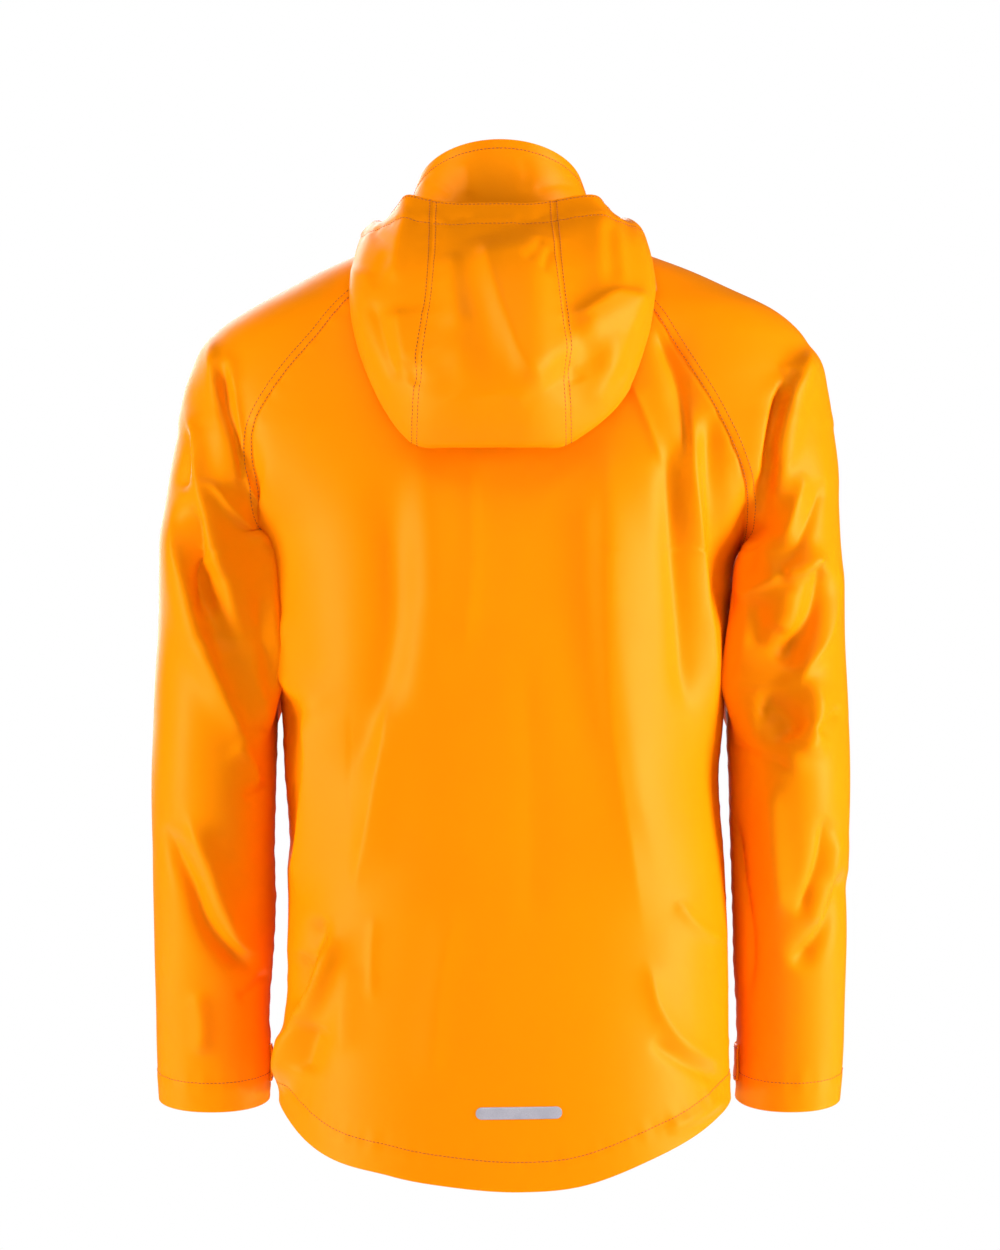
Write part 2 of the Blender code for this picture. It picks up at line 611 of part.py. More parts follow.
def hood_grid(stations, lanes):
    """Points of the hood: a smooth curve along each station, and smooth curves across the stations."""
    number = np.abs(stations)
    index = {"station": np.arange(len(HOOD["turn"]), dtype=float)}
    columns = {**HOOD, **index}
    side = np.where(stations < 0, RIGHT, LEFT)
    share = np.where(side < 0, curve_at(columns, "station", "right_share", number), 1.0)
    turn = curve_at(columns, "station", "turn", number)
    ring = neck_point(side * np.maximum(turn, 1e-6))
    away = ring[:, :2] / np.linalg.norm(ring[:, :2], axis=1)[:, None]
    seam = ring + np.concatenate([HOOD_SEAM_OUT * away, np.full((len(turn), 1), HOOD_SEAM_UP)], axis=1)
    knots = [seam]
    for name in ("under", "fold", "belly", "slope", "edge"):
        x = side * share * curve_at(columns, "station", name + "_x", number)
        y = curve_at(columns, "station", name + "_y", number)
        z = curve_at(columns, "station", name + "_z", number)
        knots.append(np.stack([x, y, z], axis=-1))
    knots = np.array(knots)
    gaps = np.linalg.norm(np.diff(knots, axis=0), axis=2) ** 0.5
    distance = np.concatenate([np.zeros((1, len(turn))), np.cumsum(gaps, axis=0)])
    points = np.empty((len(lanes), len(turn), 3))
    for column in range(len(turn)):
        along = distance[:, column] / distance[-1, column]
        for axis in range(3):
            path = {"along": along, "value": knots[:, column, axis]}
            points[:, column, axis] = curve_at(path, "along", "value", lanes)
    clearance = HOOD_CLEARANCE * smoothstep(lanes / HOOD_CLEAR_FROM)
    for lane, least in enumerate(clearance):
        if lane:
            points[lane] = clear_of_body(points[lane], least)
    return points


def hood_sheets(columns_each, lane_count):
    last = float(len(HOOD["turn"]) - 1)
    lanes = np.linspace(0, 1, lane_count + 1)
    seam = float(HOOD_SEAM_STATION)
    spans = {
        "hood_left": np.linspace(last, seam, columns_each[1] + 1),
        "hood_centre": np.linspace(seam, -seam, columns_each[0] + 1),
        "hood_right": np.linspace(-seam, -last, columns_each[1] + 1),
    }
    sheets = {}
    for name, stations in spans.items():
        points = hood_grid(stations, lanes)
        rows, columns = points.shape[:2]
        sheets[name] = Sheet(points.reshape(-1, 3), grid_faces(rows, columns, flip=True), (rows, columns))
    return sheets


def collar_sheet(columns_count, rows_count):
    """The stand collar, from one side of the zip round the back to the other."""
    turns = np.linspace(SLIT_TURN, -SLIT_TURN, columns_count + 1)[None, :]
    heights = np.linspace(0, 1, rows_count + 1)[::-1][:, None]
    base = neck_point(turns)
    sine = np.sin(np.radians(turns))
    cosine = np.cos(np.radians(turns))
    top_y = np.where(cosine > 0, COLLAR_BACK, COLLAR_FRONT) * cosine
    top = np.stack([COLLAR_HALF_WIDTH * sine, top_y, COLLAR_SIDE_TOP + COLLAR_TILT * top_y], axis=-1)
    bottom = base + np.array([0, 0, COLLAR_LIFT])
    points = bottom + (top - bottom) * heights[:, :, None]
    bow = COLLAR_BOW * np.sin(math.pi * heights)
    points[:, :, 0] += bow * sine
    points[:, :, 1] += bow * cosine
    points[:, 0, 0] = ZIP_SLIT
    points[:, -1, 0] = -ZIP_SLIT
    rows, columns = points.shape[:2]
    return Sheet(points.reshape(-1, 3), grid_faces(rows, columns), (rows, columns))


def face_normals(points, faces):
    """Normals as long as each face is large."""
    corners = points[np.array(faces)]
    return np.cross(corners[:, 2] - corners[:, 0], corners[:, 3] - corners[:, 1]) / 2


def shared_normals(sheets, fixed=()):
    """Normals for each sheet's points, the same where two sheets meet."""
    everything = np.concatenate([sheet.points for sheet in sheets.values()])
    _, spot = np.unique(np.round(everything, 2), axis=0, return_inverse=True)
    spot = spot.reshape(-1)
    total = np.zeros((spot.max() + 1, 3))
    uses = np.zeros(spot.max() + 1)
    start = 0
    for sheet in sheets.values():
        normals = face_normals(sheet.points, sheet.faces)
        own = spot[start : start + len(sheet.points)]
        for corner in range(4):
            np.add.at(total, own[np.array(sheet.faces)[:, corner]], normals)
        uses[np.unique(own)] += 1
        start += len(sheet.points)
    for place, normal in fixed:
        near = np.argmin(np.linalg.norm(everything - np.array(place), axis=1))
        total[spot[near]] = normal
    total /= np.maximum(np.linalg.norm(total, axis=1), 1e-9)[:, None]
    result = {}
    start = 0
    for name, sheet in sheets.items():
        own = spot[start : start + len(sheet.points)]
        result[name] = (total[own], uses[own] > 1)
        start += len(sheet.points)
    return result


def edges_of(faces):
    """Edges that only one face uses, each with that face."""
    owner = {}
    for number, face in enumerate(faces):
        for a, b in zip(face, face[1:] + face[:1]):
            key = (min(a, b), max(a, b))
            owner[key] = None if key in owner else (a, b, number)
    return [edge for edge in owner.values() if edge]


def welded(sheet):
    """The sheet with points at the same place made one."""
    _, first, spot = np.unique(
        np.round(sheet.points, 3), axis=0, return_index=True, return_inverse=True
    )
    spot = spot.reshape(-1)
    faces = [tuple(int(spot[corner]) for corner in face) for face in sheet.faces]
    return first, Sheet(sheet.points[first], faces, sheet.shape)


def cloth_wall(name, sheet, normals, at_seam, thickness, material):
    """A closed wall: the outer points, the same points moved in, and a rim along every open edge."""
    first, sheet = welded(sheet)
    normals = normals[first]
    at_seam = at_seam[first]
    flat = face_normals(sheet.points, sheet.faces)
    flat /= np.maximum(np.linalg.norm(flat, axis=1), 1e-9)[:, None]
    own = np.zeros_like(normals)
    for corner in range(4):
        np.add.at(own, np.array(sheet.faces)[:, corner], flat)
    own /= np.maximum(np.linalg.norm(own, axis=1), 1e-9)[:, None]
    lean = np.clip((own * normals).sum(axis=1), 0.6, 1.0)
    rim = edges_of(sheet.faces)
    inward = np.zeros_like(normals)
    for a, b, number in rim:
        edge = sheet.points[b] - sheet.points[a]
        into = np.cross(flat[number], edge / max(np.linalg.norm(edge), 1e-9))
        inward[a] += into
        inward[b] += into
    inward -= normals * (inward * normals).sum(axis=1)[:, None]
    inward /= np.maximum(np.linalg.norm(inward, axis=1), 1e-9)[:, None]
    outer = sheet.points + inward * (at_seam * SEAM_GAP / 2)[:, None]
    inner = outer - normals * (thickness / lean)[:, None]
    count = len(outer)
    faces = list(sheet.faces)
    faces += [tuple(corner + count for corner in face[::-1]) for face in sheet.faces]
    faces += [(b, a, a + count, b + count) for a, b, _ in rim]
    return mesh_object(name, np.concatenate([outer, inner]), faces, material)


def mesh_object(name, points, faces, material):
    mesh = bpy.data.meshes.new(name)
    shape = bmesh.new()
    vertices = [shape.verts.new(point * MM) for point in points]
    for face in faces:
        corners = list(dict.fromkeys(face))
        if len(corners) > 2:
            shape.faces.new([vertices[corner] for corner in corners])
    bmesh.ops.triangulate(shape, faces=shape.faces[:], quad_method="SHORT_EDGE")
    shape.to_mesh(mesh)
    shape.free()
    mesh.materials.append(material)
    mesh.shade_smooth()
    mesh.set_sharp_from_angle(angle=math.radians(50))
    made = bpy.data.objects.new(name, mesh)
    bpy.context.scene.collection.objects.link(made)
    return made


def material(name, colour, roughness, metallic=0.0):
    made = bpy.data.materials.new(name)
    made.use_nodes = True
    shader = made.node_tree.nodes["Principled BSDF"]
    shader.inputs["Base Color"].default_value = (*colour, 1)
    shader.inputs["Roughness"].default_value = roughness
    shader.inputs["Metallic"].default_value = metallic
    return made


def clear_scene():
    for existing in list(bpy.data.objects):
        bpy.data.objects.remove(existing, do_unlink=True)


def swept_bar(name, zip_line, across, outward, material):
    """A bar along the zip, through places across it and between two places out from the front's face.

    Past the slit's edge it droops back with the panel that it lies behind.
    """
    route, ways, droop = zip_line
    corners = [(x, outward[1]) for x in across] + [(x, outward[0]) for x in across[::-1]]
    points = []
    for place, way, fall in zip(route, ways, droop):
        for x, out in corners:
            back = fall * max(abs(x) - ZIP_SLIT, 0)
            points.append(place + way * (out - back) + np.array([x, 0, 0]))
    count = len(corners)
    faces = []
    for ring in range(len(route) - 1):
        for corner in range(count):
            a = ring * count + corner
            b = ring * count + (corner + 1) % count
            faces.append((a, b, b + count, a + count))
    last = (len(route) - 1) * count
    faces.append(tuple(range(count))[::-1])
    faces.append(tuple(range(last, last + count)))
    made = mesh_object(name, np.array(points), faces, material)
    shape = bmesh.new()
    shape.from_mesh(made.data)
    bmesh.ops.recalc_face_normals(shape, faces=shape.faces[:])
    shape.to_mesh(made.data)
    shape.free()
    return made


def zip_route(front, collar):
    """The middle of the zip from the collar's top down to the foot of the slit.

    With it come the way out at each point and how fast the cloth beside the slit falls back.
    """
    grid = front.points.reshape(*front.shape, 3)
    middle = front.shape[1] // 2
    in_slit = BODY_ROWS >= ZIP_BOTTOM - 1
    neck = collar.points.reshape(*collar.shape, 3)[:-1]
    edge = np.concatenate([neck[:, 0], grid[in_slit, middle]])
    beside = np.concatenate([neck[:, 1], grid[in_slit, middle + 1]])
    droop = (beside[:, 1] - edge[:, 1]) / (beside[:, 0] - edge[:, 0])
    route = edge * np.array([0, 1, 1])
    heading = np.gradient(route, axis=0)
    heading /= np.linalg.norm(heading, axis=1)[:, None]
    ways = np.cross(heading, np.array([1.0, 0, 0]))
    ways *= -np.sign(ways[:, 1:2])
    return route, ways, droop


def along_zip(zip_line, start):
    """The zip's line from a distance below the collar's top edge down to its foot."""
    route = zip_line[0]
    distance = np.concatenate([[0], np.cumsum(np.linalg.norm(np.diff(route, axis=0), axis=1))])
    kept = distance > start + 2
    cut = []
    for values in zip_line:
        columns = values.reshape(len(values), -1)
        first = [np.interp(start, distance, column) for column in columns.T]
        cut.append(np.concatenate([[first], columns[kept]]).reshape(-1, *values.shape[1:]))
    return cut


def box(name, x, out, up, material):
    """A block between two places across, out from the zip's face and up, in the slider's own axes."""
    low = np.array([x[0], -out[1], up[0]])
    high = np.array([x[1], -out[0], up[1]])
    mesh = bpy.data.meshes.new(name)
    shape = bmesh.new()
    bmesh.ops.create_cube(shape, size=1)
    bmesh.ops.scale(shape, vec=(high - low) * MM, verts=shape.verts[:])
    bmesh.ops.translate(shape, vec=(high + low) / 2 * MM, verts=shape.verts[:])
    shape.to_mesh(mesh)
    shape.free()
    mesh.materials.append(material)
    made = bpy.data.objects.new(name, mesh)
    bpy.context.scene.collection.objects.link(made)
    return made


def rod(name, radius, half_length, out, up, sides, material):
    """A round bar that lies across the zip."""
    mesh = bpy.data.meshes.new(name)
    shape = bmesh.new()
    turned = Matrix.Rotation(math.pi / 2, 4, "Y")
    placed = Matrix.Translation((0, -out * MM, up * MM)) @ turned
    bmesh.ops.create_cone(
        shape,
        cap_ends=True,
        segments=sides,
        radius1=radius * MM,
        radius2=radius * MM,
        depth=2 * half_length * MM,
        matrix=placed,
    )
    shape.to_mesh(mesh)
    shape.free()
    mesh.materials.append(material)
    made = bpy.data.objects.new(name, mesh)
    bpy.context.scene.collection.objects.link(made)
    return made


def combine(base, helper, operation):
    """Adds a helper shape to a piece, or cuts it away."""
    modifier = base.modifiers.new(helper.name, "BOOLEAN")
    modifier.operation = operation
    modifier.object = helper
    helper.hide_render = True
    helper.display_type = "WIRE"
    helper.parent = base


def build_slider(place, lean, metal):
    """The slider at the top of the closed zip: two plates, their post, and lugs with the pull's pin."""
    half = SLIDER_HALF_WIDTH
    foot = -SLIDER_HEIGHT
    pin_up = -PIN_DROP
    past = 1.0  # a cutter or a lug runs this far past a face
    slider = box("zip_slider", (-half, half), SLIDER_OUT, (foot, 0), metal)
    run = (foot - past, CHANNEL_TOP)
    channel = box("slider_channel", (-CHANNEL_HALF_WIDTH, CHANNEL_HALF_WIDTH), CHANNEL_OUT, run, metal)
    slots = box("slider_slots", (-half - past, half + past), TAPE_SLOT_OUT, run, metal)
    combine(slider, channel, "DIFFERENCE")
    combine(slider, slots, "DIFFERENCE")
    lug_out = (SLIDER_OUT[1] - past / 2, PIN_OUT + LUG_PAST_PIN)
    lug_up = (pin_up - LUG_HALF_HEIGHT, pin_up + LUG_HALF_HEIGHT)
    for name, inner, outer in (("lug_left", LUG_INNER, LUG_OUTER), ("lug_right", -LUG_OUTER, -LUG_INNER)):
        combine(slider, box(name, (inner, outer), lug_out, lug_up, metal), "UNION")
    combine(slider, rod("slider_pin", PIN_RADIUS, PIN_HALF_LENGTH, PIN_OUT, pin_up, 12, metal), "UNION")
    slider.location = place * MM
    slider.rotation_euler = (-lean, 0, 0)
    return slider


def build_pull(pin, lean, metal):
    """The pull tab, which swings on the slider's pin. Its origin is the pin's middle."""
    neck_half = PULL_NECK_HALF_WIDTH
    out = (-PULL_THICKNESS / 2, PULL_THICKNESS / 2)
    pull = rod("zip_pull", PULL_EYE_RADIUS, neck_half, 0, 0, 16, metal)
    neck = box("pull_neck", (-neck_half, neck_half), out, PULL_NECK, metal)
    wide = (-PULL_HALF_WIDTH, PULL_HALF_WIDTH)
    plate = box("pull_plate", wide, out, (-PULL_LENGTH, PULL_PLATE_TOP), metal)
    rounding = plate.modifiers.new("corners", "BEVEL")
    rounding.width = PULL_ROUNDING * MM
    rounding.segments = 2
    combine(pull, neck, "UNION")
    combine(pull, plate, "UNION")
    combine(pull, rod("pull_eye", PIN_RADIUS + PIN_CLEARANCE, 2 * neck_half, 0, 0, 12, metal), "DIFFERENCE")
    pull.location = pin * MM
    pull.rotation_euler = (-lean, 0, 0)
    return pull


def build_zip(front, collar, tape, teeth, metal):
    whole = zip_route(front, collar)
    closed = along_zip(whole, ZIP_END)
    depths = (-TAPE_DEPTH - TAPE_WALL, -TAPE_DEPTH)
    swept_bar("zip_tape_left", closed, (TAPE_EDGE, ZIP_SLIT, ZIP_TAPE), depths, tape)
    swept_bar("zip_tape_right", closed, (-ZIP_TAPE, -ZIP_SLIT, -TAPE_EDGE), depths, tape)
    line = closed[0]
    line[-1] += (line[-2] - line[-1]) * ZIP_FOOT_GAP / np.linalg.norm(line[-2] - line[-1])
    depths = (ON_TAPE - TAPE_DEPTH, TEETH_PROUD)
    swept_bar("zip_chain", closed, (-ZIP_TEETH, ZIP_TEETH), depths, teeth)
    top = along_zip(whole, SLIDER_TOP)[0][0]
    below = along_zip(whole, SLIDER_TOP + SLIDER_HEIGHT)[0][0]
    tip = along_zip(whole, SLIDER_TOP + PIN_DROP + PULL_LENGTH)[0][0]
    lean = math.atan2(top[1] - below[1], top[2] - below[2])
    build_slider(top, lean, metal)
    up = np.array([0, math.sin(lean), math.cos(lean)])
    out = np.array([0, -math.cos(lean), math.sin(lean)])
    chord = math.atan2(top[1] - tip[1], top[2] - tip[2])
    build_pull(top - up * PIN_DROP + out * PIN_OUT, chord - math.radians(PULL_SETTLE), metal)


def surface_of(piece):
    return BVHTree.FromObject(piece, bpy.context.evaluated_depsgraph_get())


def build_strip(back, film):
    """The reflective strip, laid on the back's outer face as seen from behind."""
    bpy.context.view_layer.update()
    surface = surface_of(back)
    half_length = STRIP_SIZE[0] / 2
    half_height = STRIP_SIZE[1] / 2
    points = []
    normals = []
    cap = half_height / half_length  # share of the half length that an end's round takes
    ends = np.array([1, 0.97, 0.92])
    along = np.concatenate([-ends, np.linspace(-1 + cap, 1 - cap, 11), ends[::-1]])
    for across in (1, 0, -1):
        for share in along[::-1]:
            past = max(0, abs(share) - (1 - cap)) / cap
            height = half_height * max(STRIP_END, math.sqrt(max(0, 1 - past * past)))
            x = STRIP_MIDDLE[0] + share * half_length
            z = STRIP_MIDDLE[1] + across * height - share * half_length * STRIP_RISE
            start = Vector((x, BEHIND_ALL, z)) * MM
            place, normal, _, _ = surface.ray_cast(start, Vector((0, -1, 0)))
            points.append(np.array(place) / MM)
            normals.append(np.array(normal))
    normals = np.array(normals)
    points = np.array(points) + normals * (LYING_ON + STRIP_THICKNESS)
    columns = len(along)
    sheet = Sheet(points, grid_faces(3, columns), (3, columns))
    cloth_wall("reflective_strip", sheet, normals, np.zeros(len(points)), STRIP_THICKNESS, film)


def build_cuff_tab(side, sleeve, normals, cloth):
    """A cuff tab on the sleeve's own points, from the front of the cuff round its inner edge."""
    rows, columns = sleeve.shape
    grid = sleeve.points.reshape(rows, columns, 3)
    ways = normals.reshape(rows, columns, 3)
    points = []
    directions = []
    for level in np.linspace(*CUFF_TAB_LEVELS, 3):
        for column in CUFF_TAB_COLUMNS:
            line = grid[::-1, column]
            share = np.interp(level, line[:, 2], np.arange(rows)[::-1])
            low = int(share)
            rest = share - low
            points.append(grid[low, column] * (1 - rest) + grid[low + 1, column] * rest)
            directions.append(ways[low, column] * (1 - rest) + ways[low + 1, column] * rest)
    directions = np.array(directions)
    directions /= np.linalg.norm(directions, axis=1)[:, None]
    points = np.array(points) + directions * (LYING_ON + CUFF_TAB_THICKNESS)
    columns = len(CUFF_TAB_COLUMNS)
    sheet = Sheet(points, grid_faces(3, columns, flip=side > 0), (3, columns))
    name = "cuff_tab_left" if side > 0 else "cuff_tab_right"
    cloth_wall(name, sheet, directions, np.zeros(len(points)), CUFF_TAB_THICKNESS, cloth)


def main():
    clear_scene()
    cloth = material("coated_cloth", (1.0, 0.27, 0.0), 0.4)
    film = material("reflective_film", (0.55, 0.54, 0.6), 0.35)
    tape = material("zip_tape", (0.85, 0.24, 0.0), 0.8)
    teeth = material("moulded_teeth", (0.05, 0.05, 0.05), 0.5)
    metal = material("painted_metal", (0.05, 0.05, 0.05), 0.4, 1.0)

    armpits = [((side * half_width(side, ARMPIT), 0, ARMPIT), (0, 0, -1)) for side in (LEFT, RIGHT)]
    shell = {
        "back": back_sheet(),
        "front": front_sheet(),
        "sleeve_left": sleeve_sheet(LEFT),
        "sleeve_right": sleeve_sheet(RIGHT),
    }
    shell = folded(shell, BODY_FOLDS + LEFT_SLEEVE_FOLDS + RIGHT_SLEEVE_FOLDS, armpits)
    normals = shared_normals(shell, armpits)
    made = {name: cloth_wall(name, sheet, *normals[name], WALL, cloth) for name, sheet in shell.items()}

    hood = hood_sheets(HOOD_COLUMNS, HOOD_LANES)
    hood_normals = shared_normals(hood)
    for name, sheet in hood.items():
        cloth_wall(name, sheet, *hood_normals[name], WALL, cloth)

    collar = {"collar": collar_sheet(COLLAR_COLUMNS, COLLAR_ROWS)}
    cloth_wall("collar", collar["collar"], *shared_normals(collar)["collar"], WALL, cloth)

    build_zip(shell["front"], collar["collar"], tape, teeth, metal)
    build_strip(made["back"], film)
    build_cuff_tab(LEFT, shell["sleeve_left"], normals["sleeve_left"][0], cloth)
    build_cuff_tab(RIGHT, shell["sleeve_right"], normals["sleeve_right"][0], cloth)


main()
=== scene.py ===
"""Looks of a hooded pullover rain anorak in orange coated cloth, in the shape it has when worn.

Form and creases are worked out in millimetres, in the part's own frame: +Z up, the front faces -Y,
the wearer's left is +X, and the origin is the middle of the neck. A level is a height in that frame.
A turn is an angle in degrees round the upright axis, from the centre back at 0 over the wearer's
left at 90 to the centre front at 180, and negative over the wearer's right.
"""

import json
import math
from collections import namedtuple

import bmesh
import bpy
import numpy as np
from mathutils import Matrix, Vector
from mathutils.bvhtree import BVHTree
from mathutils.kdtree import KDTree


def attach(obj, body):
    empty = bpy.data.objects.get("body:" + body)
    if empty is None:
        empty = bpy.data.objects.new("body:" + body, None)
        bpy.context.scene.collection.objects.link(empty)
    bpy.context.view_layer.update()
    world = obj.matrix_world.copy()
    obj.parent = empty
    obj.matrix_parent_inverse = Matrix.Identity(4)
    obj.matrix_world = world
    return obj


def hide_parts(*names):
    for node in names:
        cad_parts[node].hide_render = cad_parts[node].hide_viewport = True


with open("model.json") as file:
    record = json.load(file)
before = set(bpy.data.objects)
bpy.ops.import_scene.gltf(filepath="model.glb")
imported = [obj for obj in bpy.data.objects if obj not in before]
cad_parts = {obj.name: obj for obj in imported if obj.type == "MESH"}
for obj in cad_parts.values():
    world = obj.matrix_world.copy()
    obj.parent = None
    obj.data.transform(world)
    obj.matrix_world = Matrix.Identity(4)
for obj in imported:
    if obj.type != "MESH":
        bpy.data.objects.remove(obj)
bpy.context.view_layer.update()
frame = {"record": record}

MM = 0.001
LEFT = 1.0
RIGHT = -1.0
TINY = 1e-9  # keeps a length from being nothing
SAME_PLACE = 2  # points of two sheets are one where they agree to this many decimals of a millimetre

CLOTH = 1.1  # the coated knit as it shows at its edges
SEAM_GROOVE = 0.4  # how deep a seam sinks
HOOD_GROOVE = 0.2  # and how deep on the hood
SEAM_SPREAD = 1.5  # how far a seam's groove reaches beside it
SEAM_EDGE = 2.5  # over this width the doubled cloth beside a seam or a hem steps down
SIDE_PUCKER = 0.3  # how high the cloth puckers along the side and sleeve seams
RAGLAN_PUCKER = 0.16
HOOD_PUCKER = 0.14
PUCKER_REACH = 9.0
RAGLAN_FOLD = 7.5  # width of the seam allowance stitched down beside the raglan seams
RAGLAN_RAISE = 0.25  # how much that allowance thickens the cloth
HOOD_FOLD = 4.5
HOOD_RAISE = 0.12
DRAPE_UPRIGHT = 0.8
DRAPE_SLANTED = 0.5

HEM_BAND = 23.0  # the back and front hems are turned up this far
CUFF_BAND = 24.0
HOOD_BAND = 25.0
HEM_DOUBLE = 0.6  # how much a turned-up hem thickens the cloth
HEM_PAST = 0.5  # the doubled cloth goes this far past its stitching
HEM_DENT = 0.9  # how deep its stitching pulls in
HEM_DENT_SPREAD = 1.7
HEM_PUCKER = 0.22
HEM_PUCKER_REACH = 8.0
COLLAR_BAND = 7.0
COLLAR_DOUBLE = 0.5
COLLAR_DENT = 0.5
COLLAR_DENT_SPREAD = 1.8
COLLAR_EDGE = 2.0
COLLAR_TUCK = 2.5  # the collar's foot reaches this far down inside the neckline

STITCH_PITCH = 3.2
STITCH_SHARE = 0.78  # of the pitch that shows as thread
THREAD_RADIUS = 0.38
STITCH_SIDES = 5
# Rings of a stitch: place along it in half lengths, then width and height in thread radii.
STITCH_RINGS = ((-1.0, 0.35, -0.9), (-0.6, 1.0, 0.15), (0.6, 1.0, 0.15), (1.0, 0.35, -0.9))
RAGLAN_STITCH = 1.6  # how far the first row of stitches lies beside a raglan seam
HOOD_STITCH = 2.6  # and beside a seam of the hood
HOOD_EDGE_STITCH = 2.0

OVAL = 2.35  # exponent of the body's flattened oval sections
SLEEVE_OVAL = 2.15
ARMPIT = -250.0  # level where back, front and sleeve meet
HEM_SIDE = -686.0  # level of the hem at the side seams
CUFF = -690.0
CUFF_TILT = 0.2  # the cuff hangs lower at the back by this share of its depth
CUFF_FADE = 150.0  # the cuff's tilt starts this far above it
NECK_FADE = 190.0  # how far down the rows still follow the neckline
HEM_FADE = 190.0
RING_FADE = 60.0  # the top rows leave the neckline's ring within this
SLIT_TURN = 177.8  # the slit for the zip meets the neckline at this turn on either side
TUBE_FROM = -110.0  # from here down to the armpit a sleeve closes from an arc into a tube
SLEEVE_WIDTH_FROM = -152.0  # below this a sleeve's own outer width counts, not the body's
WIDEST_SEAM = 0.97  # share of a sleeve's depth that its open arc may span
SLEEVE_SEAM_BLEND = 0.3  # share of a sleeve's girth that is drawn to its raglan seam
BACK_RAGLAN_TURN = 38.0  # where the raglan seams leave the neckline
FRONT_RAGLAN_TURN = 133.0
LEVEL_ROUNDS = 3  # the levels of a row settle in this many rounds
CLEARING_ROUNDS = 4
SLOPE_STEP = 0.5  # the way out of the body is read over this distance
LEAST_SLOPE = 1e-6
LEAST_TURN = 1e-6  # the neckline's middle still has a side
JUST_ABOVE = 0.01

BACK_COLUMNS = 190
FRONT_COLUMNS = 75
SLEEVE_COLUMNS = 160
HOOD_CENTRE_COLUMNS = 34
HOOD_SIDE_COLUMNS = 84
HOOD_LANES = 150
COLLAR_COLUMNS = 150
COLLAR_ROWS = 32
# Lowest level and number of each band of rows that back, front and sleeves share.
ROW_BANDS = ((-96, 42), (-208, 40), (ARMPIT, 15), (-330, 28), (HEM_SIDE, 116))


def table(columns, *rows):
    """A table with one named array for each column."""
    return dict(zip(columns.split(), np.array(rows, float).T))


# Sections through the body: the left and right half widths, and how far the back and front stand out.
BODY = table(
    "level left right back front",
    (8, 70, 70, 62, 57),
    (0, 84, 86, 68, 61),
    (-8, 102, 106, 73, 64),
    (-16, 121, 128, 78, 66.5),
    (-24, 139, 149, 83, 68.5),
    (-40, 170, 184, 91, 73),
    (-56, 200, 217, 98.5, 79),
    (-72, 224, 237, 105, 85.5),
    (-88, 238, 248, 111, 92.5),
    (-104, 246, 256, 116.5, 99),
    (-120, 252, 260.5, 121, 106),
    (-136, 255, 264, 125, 112),
    (-152, 256, 266, 128.5, 117.5),
    (-168, 247, 256, 131, 122),
    (-184, 234, 243, 133.5, 126),
    (-200, 218, 229, 135.5, 129.5),
    (-216, 203, 215, 137, 132),
    (-232, 192, 202, 138, 134),
    (-250, 186, 191, 139, 136),
    (-290, 181, 184.5, 140.5, 138),
    (-340, 176.5, 178.5, 141.5, 139),
    (-392, 174, 175.5, 142, 139),
    (-424, 173, 174, 142, 139),
    (-456, 171, 175.5, 142, 139),
    (-488, 170, 178.5, 142, 139),
    (-536, 169.5, 181, 142, 138.5),
    (-584, 171.5, 182.5, 141.5, 138),
    (-632, 174, 183, 141, 137),
    (-686, 176, 184.5, 140.5, 136),
    (-760, 176, 184.5, 140, 136),
)
# The neckline, as a ring that dips at the front.
NECK = table(
    "turn x y z",
    (0, 0, 70, -4),
    (15, 20, 69, -3.5),
    (30, 38.5, 62.5, -2),
    (45, 54, 51, 0.5),
    (60, 65, 36, 3),
    (75, 72, 18, 5),
    (90, 74.5, -2, 5),
    (105, 73, -22, 3),
    (120, 68.5, -42, -5),
    (135, 60, -60, -22),
    (150, 47, -73, -45),
    (165, 27, -82, -65),
    (180, 0, -86, -75),
)
# The raglan seams: how far each lies from the middle, level by level.
RAGLAN = table(
    "level left right front",
    (0, 46, 45, 46),
    (-20, 77, 73, 61),
    (-52, 118, 111, 96),
    (-84, 144, 134, 124),
    (-110, 166, 150, 141),
    (-133, 182, 164, 154),
    (-150, 191, 173, 163),
    (-165, 194, 180, 169),
    (-180, 194, 186, 175),
    (-196, 190.5, 191, 179.5),
    (-212, 187.5, 194, 182),
    (-226, 186.8, 194, 184),
    (-238, 186.6, 193.5, 185.2),
    (-246, 186.3, 192, 186),
    (-250, 186, 191, 186),
)
# Sections through the sleeves from the armpit down; the upper rows only lead into the shoulder.
SLEEVE = table(
    "level left_in left_out right_in right_out middle depth",
    (-100, 158, 246, 160, 256, 3, 98),
    (-152, 172, 256, 176, 266, 3, 91),
    (-184, 181, 262.5, 186, 270.5, 1, 86.5),
    (-216, 184.5, 266.5, 190, 271.5, 0, 82),
    (-250, 186, 268, 191, 273, 0, 79),
    (-262, 189, 269, 194, 273.5, -1, 78.5),
    (-290, 187, 271, 190.5, 274.6, -4, 77.5),
    (-320, 184, 273.2, 187.5, 275.6, -5, 76),
    (-350, 180.5, 275.8, 185, 277, -4, 74),
    (-384, 178, 277, 182.5, 278.2, 0, 72),
    (-424, 178.6, 278.4, 183.2, 279.2, 3, 70),
    (-488, 180, 278.5, 184.5, 279.2, -5, 64),
    (-536, 179, 278.8, 186, 279.5, -15, 58),
    (-584, 182, 279, 187.5, 279, -27, 52),
    (-616, 185, 278.5, 190, 278.5, -36, 48),
    (-648, 186, 278, 191.5, 278, -44, 45),
    (-700, 187.5, 275, 192, 274, -53, 43),
)
# How low the hem of the back hangs across its width; the front hem is straight.
BACK_HEM = table(
    "x level",
    (-184.5, -686),
    (-163, -701),
    (-113, -725),
    (-63, -742),
    (-15, -746),
    (40, -742),
    (84, -735),
    (157, -707),
    (176, -686),
)
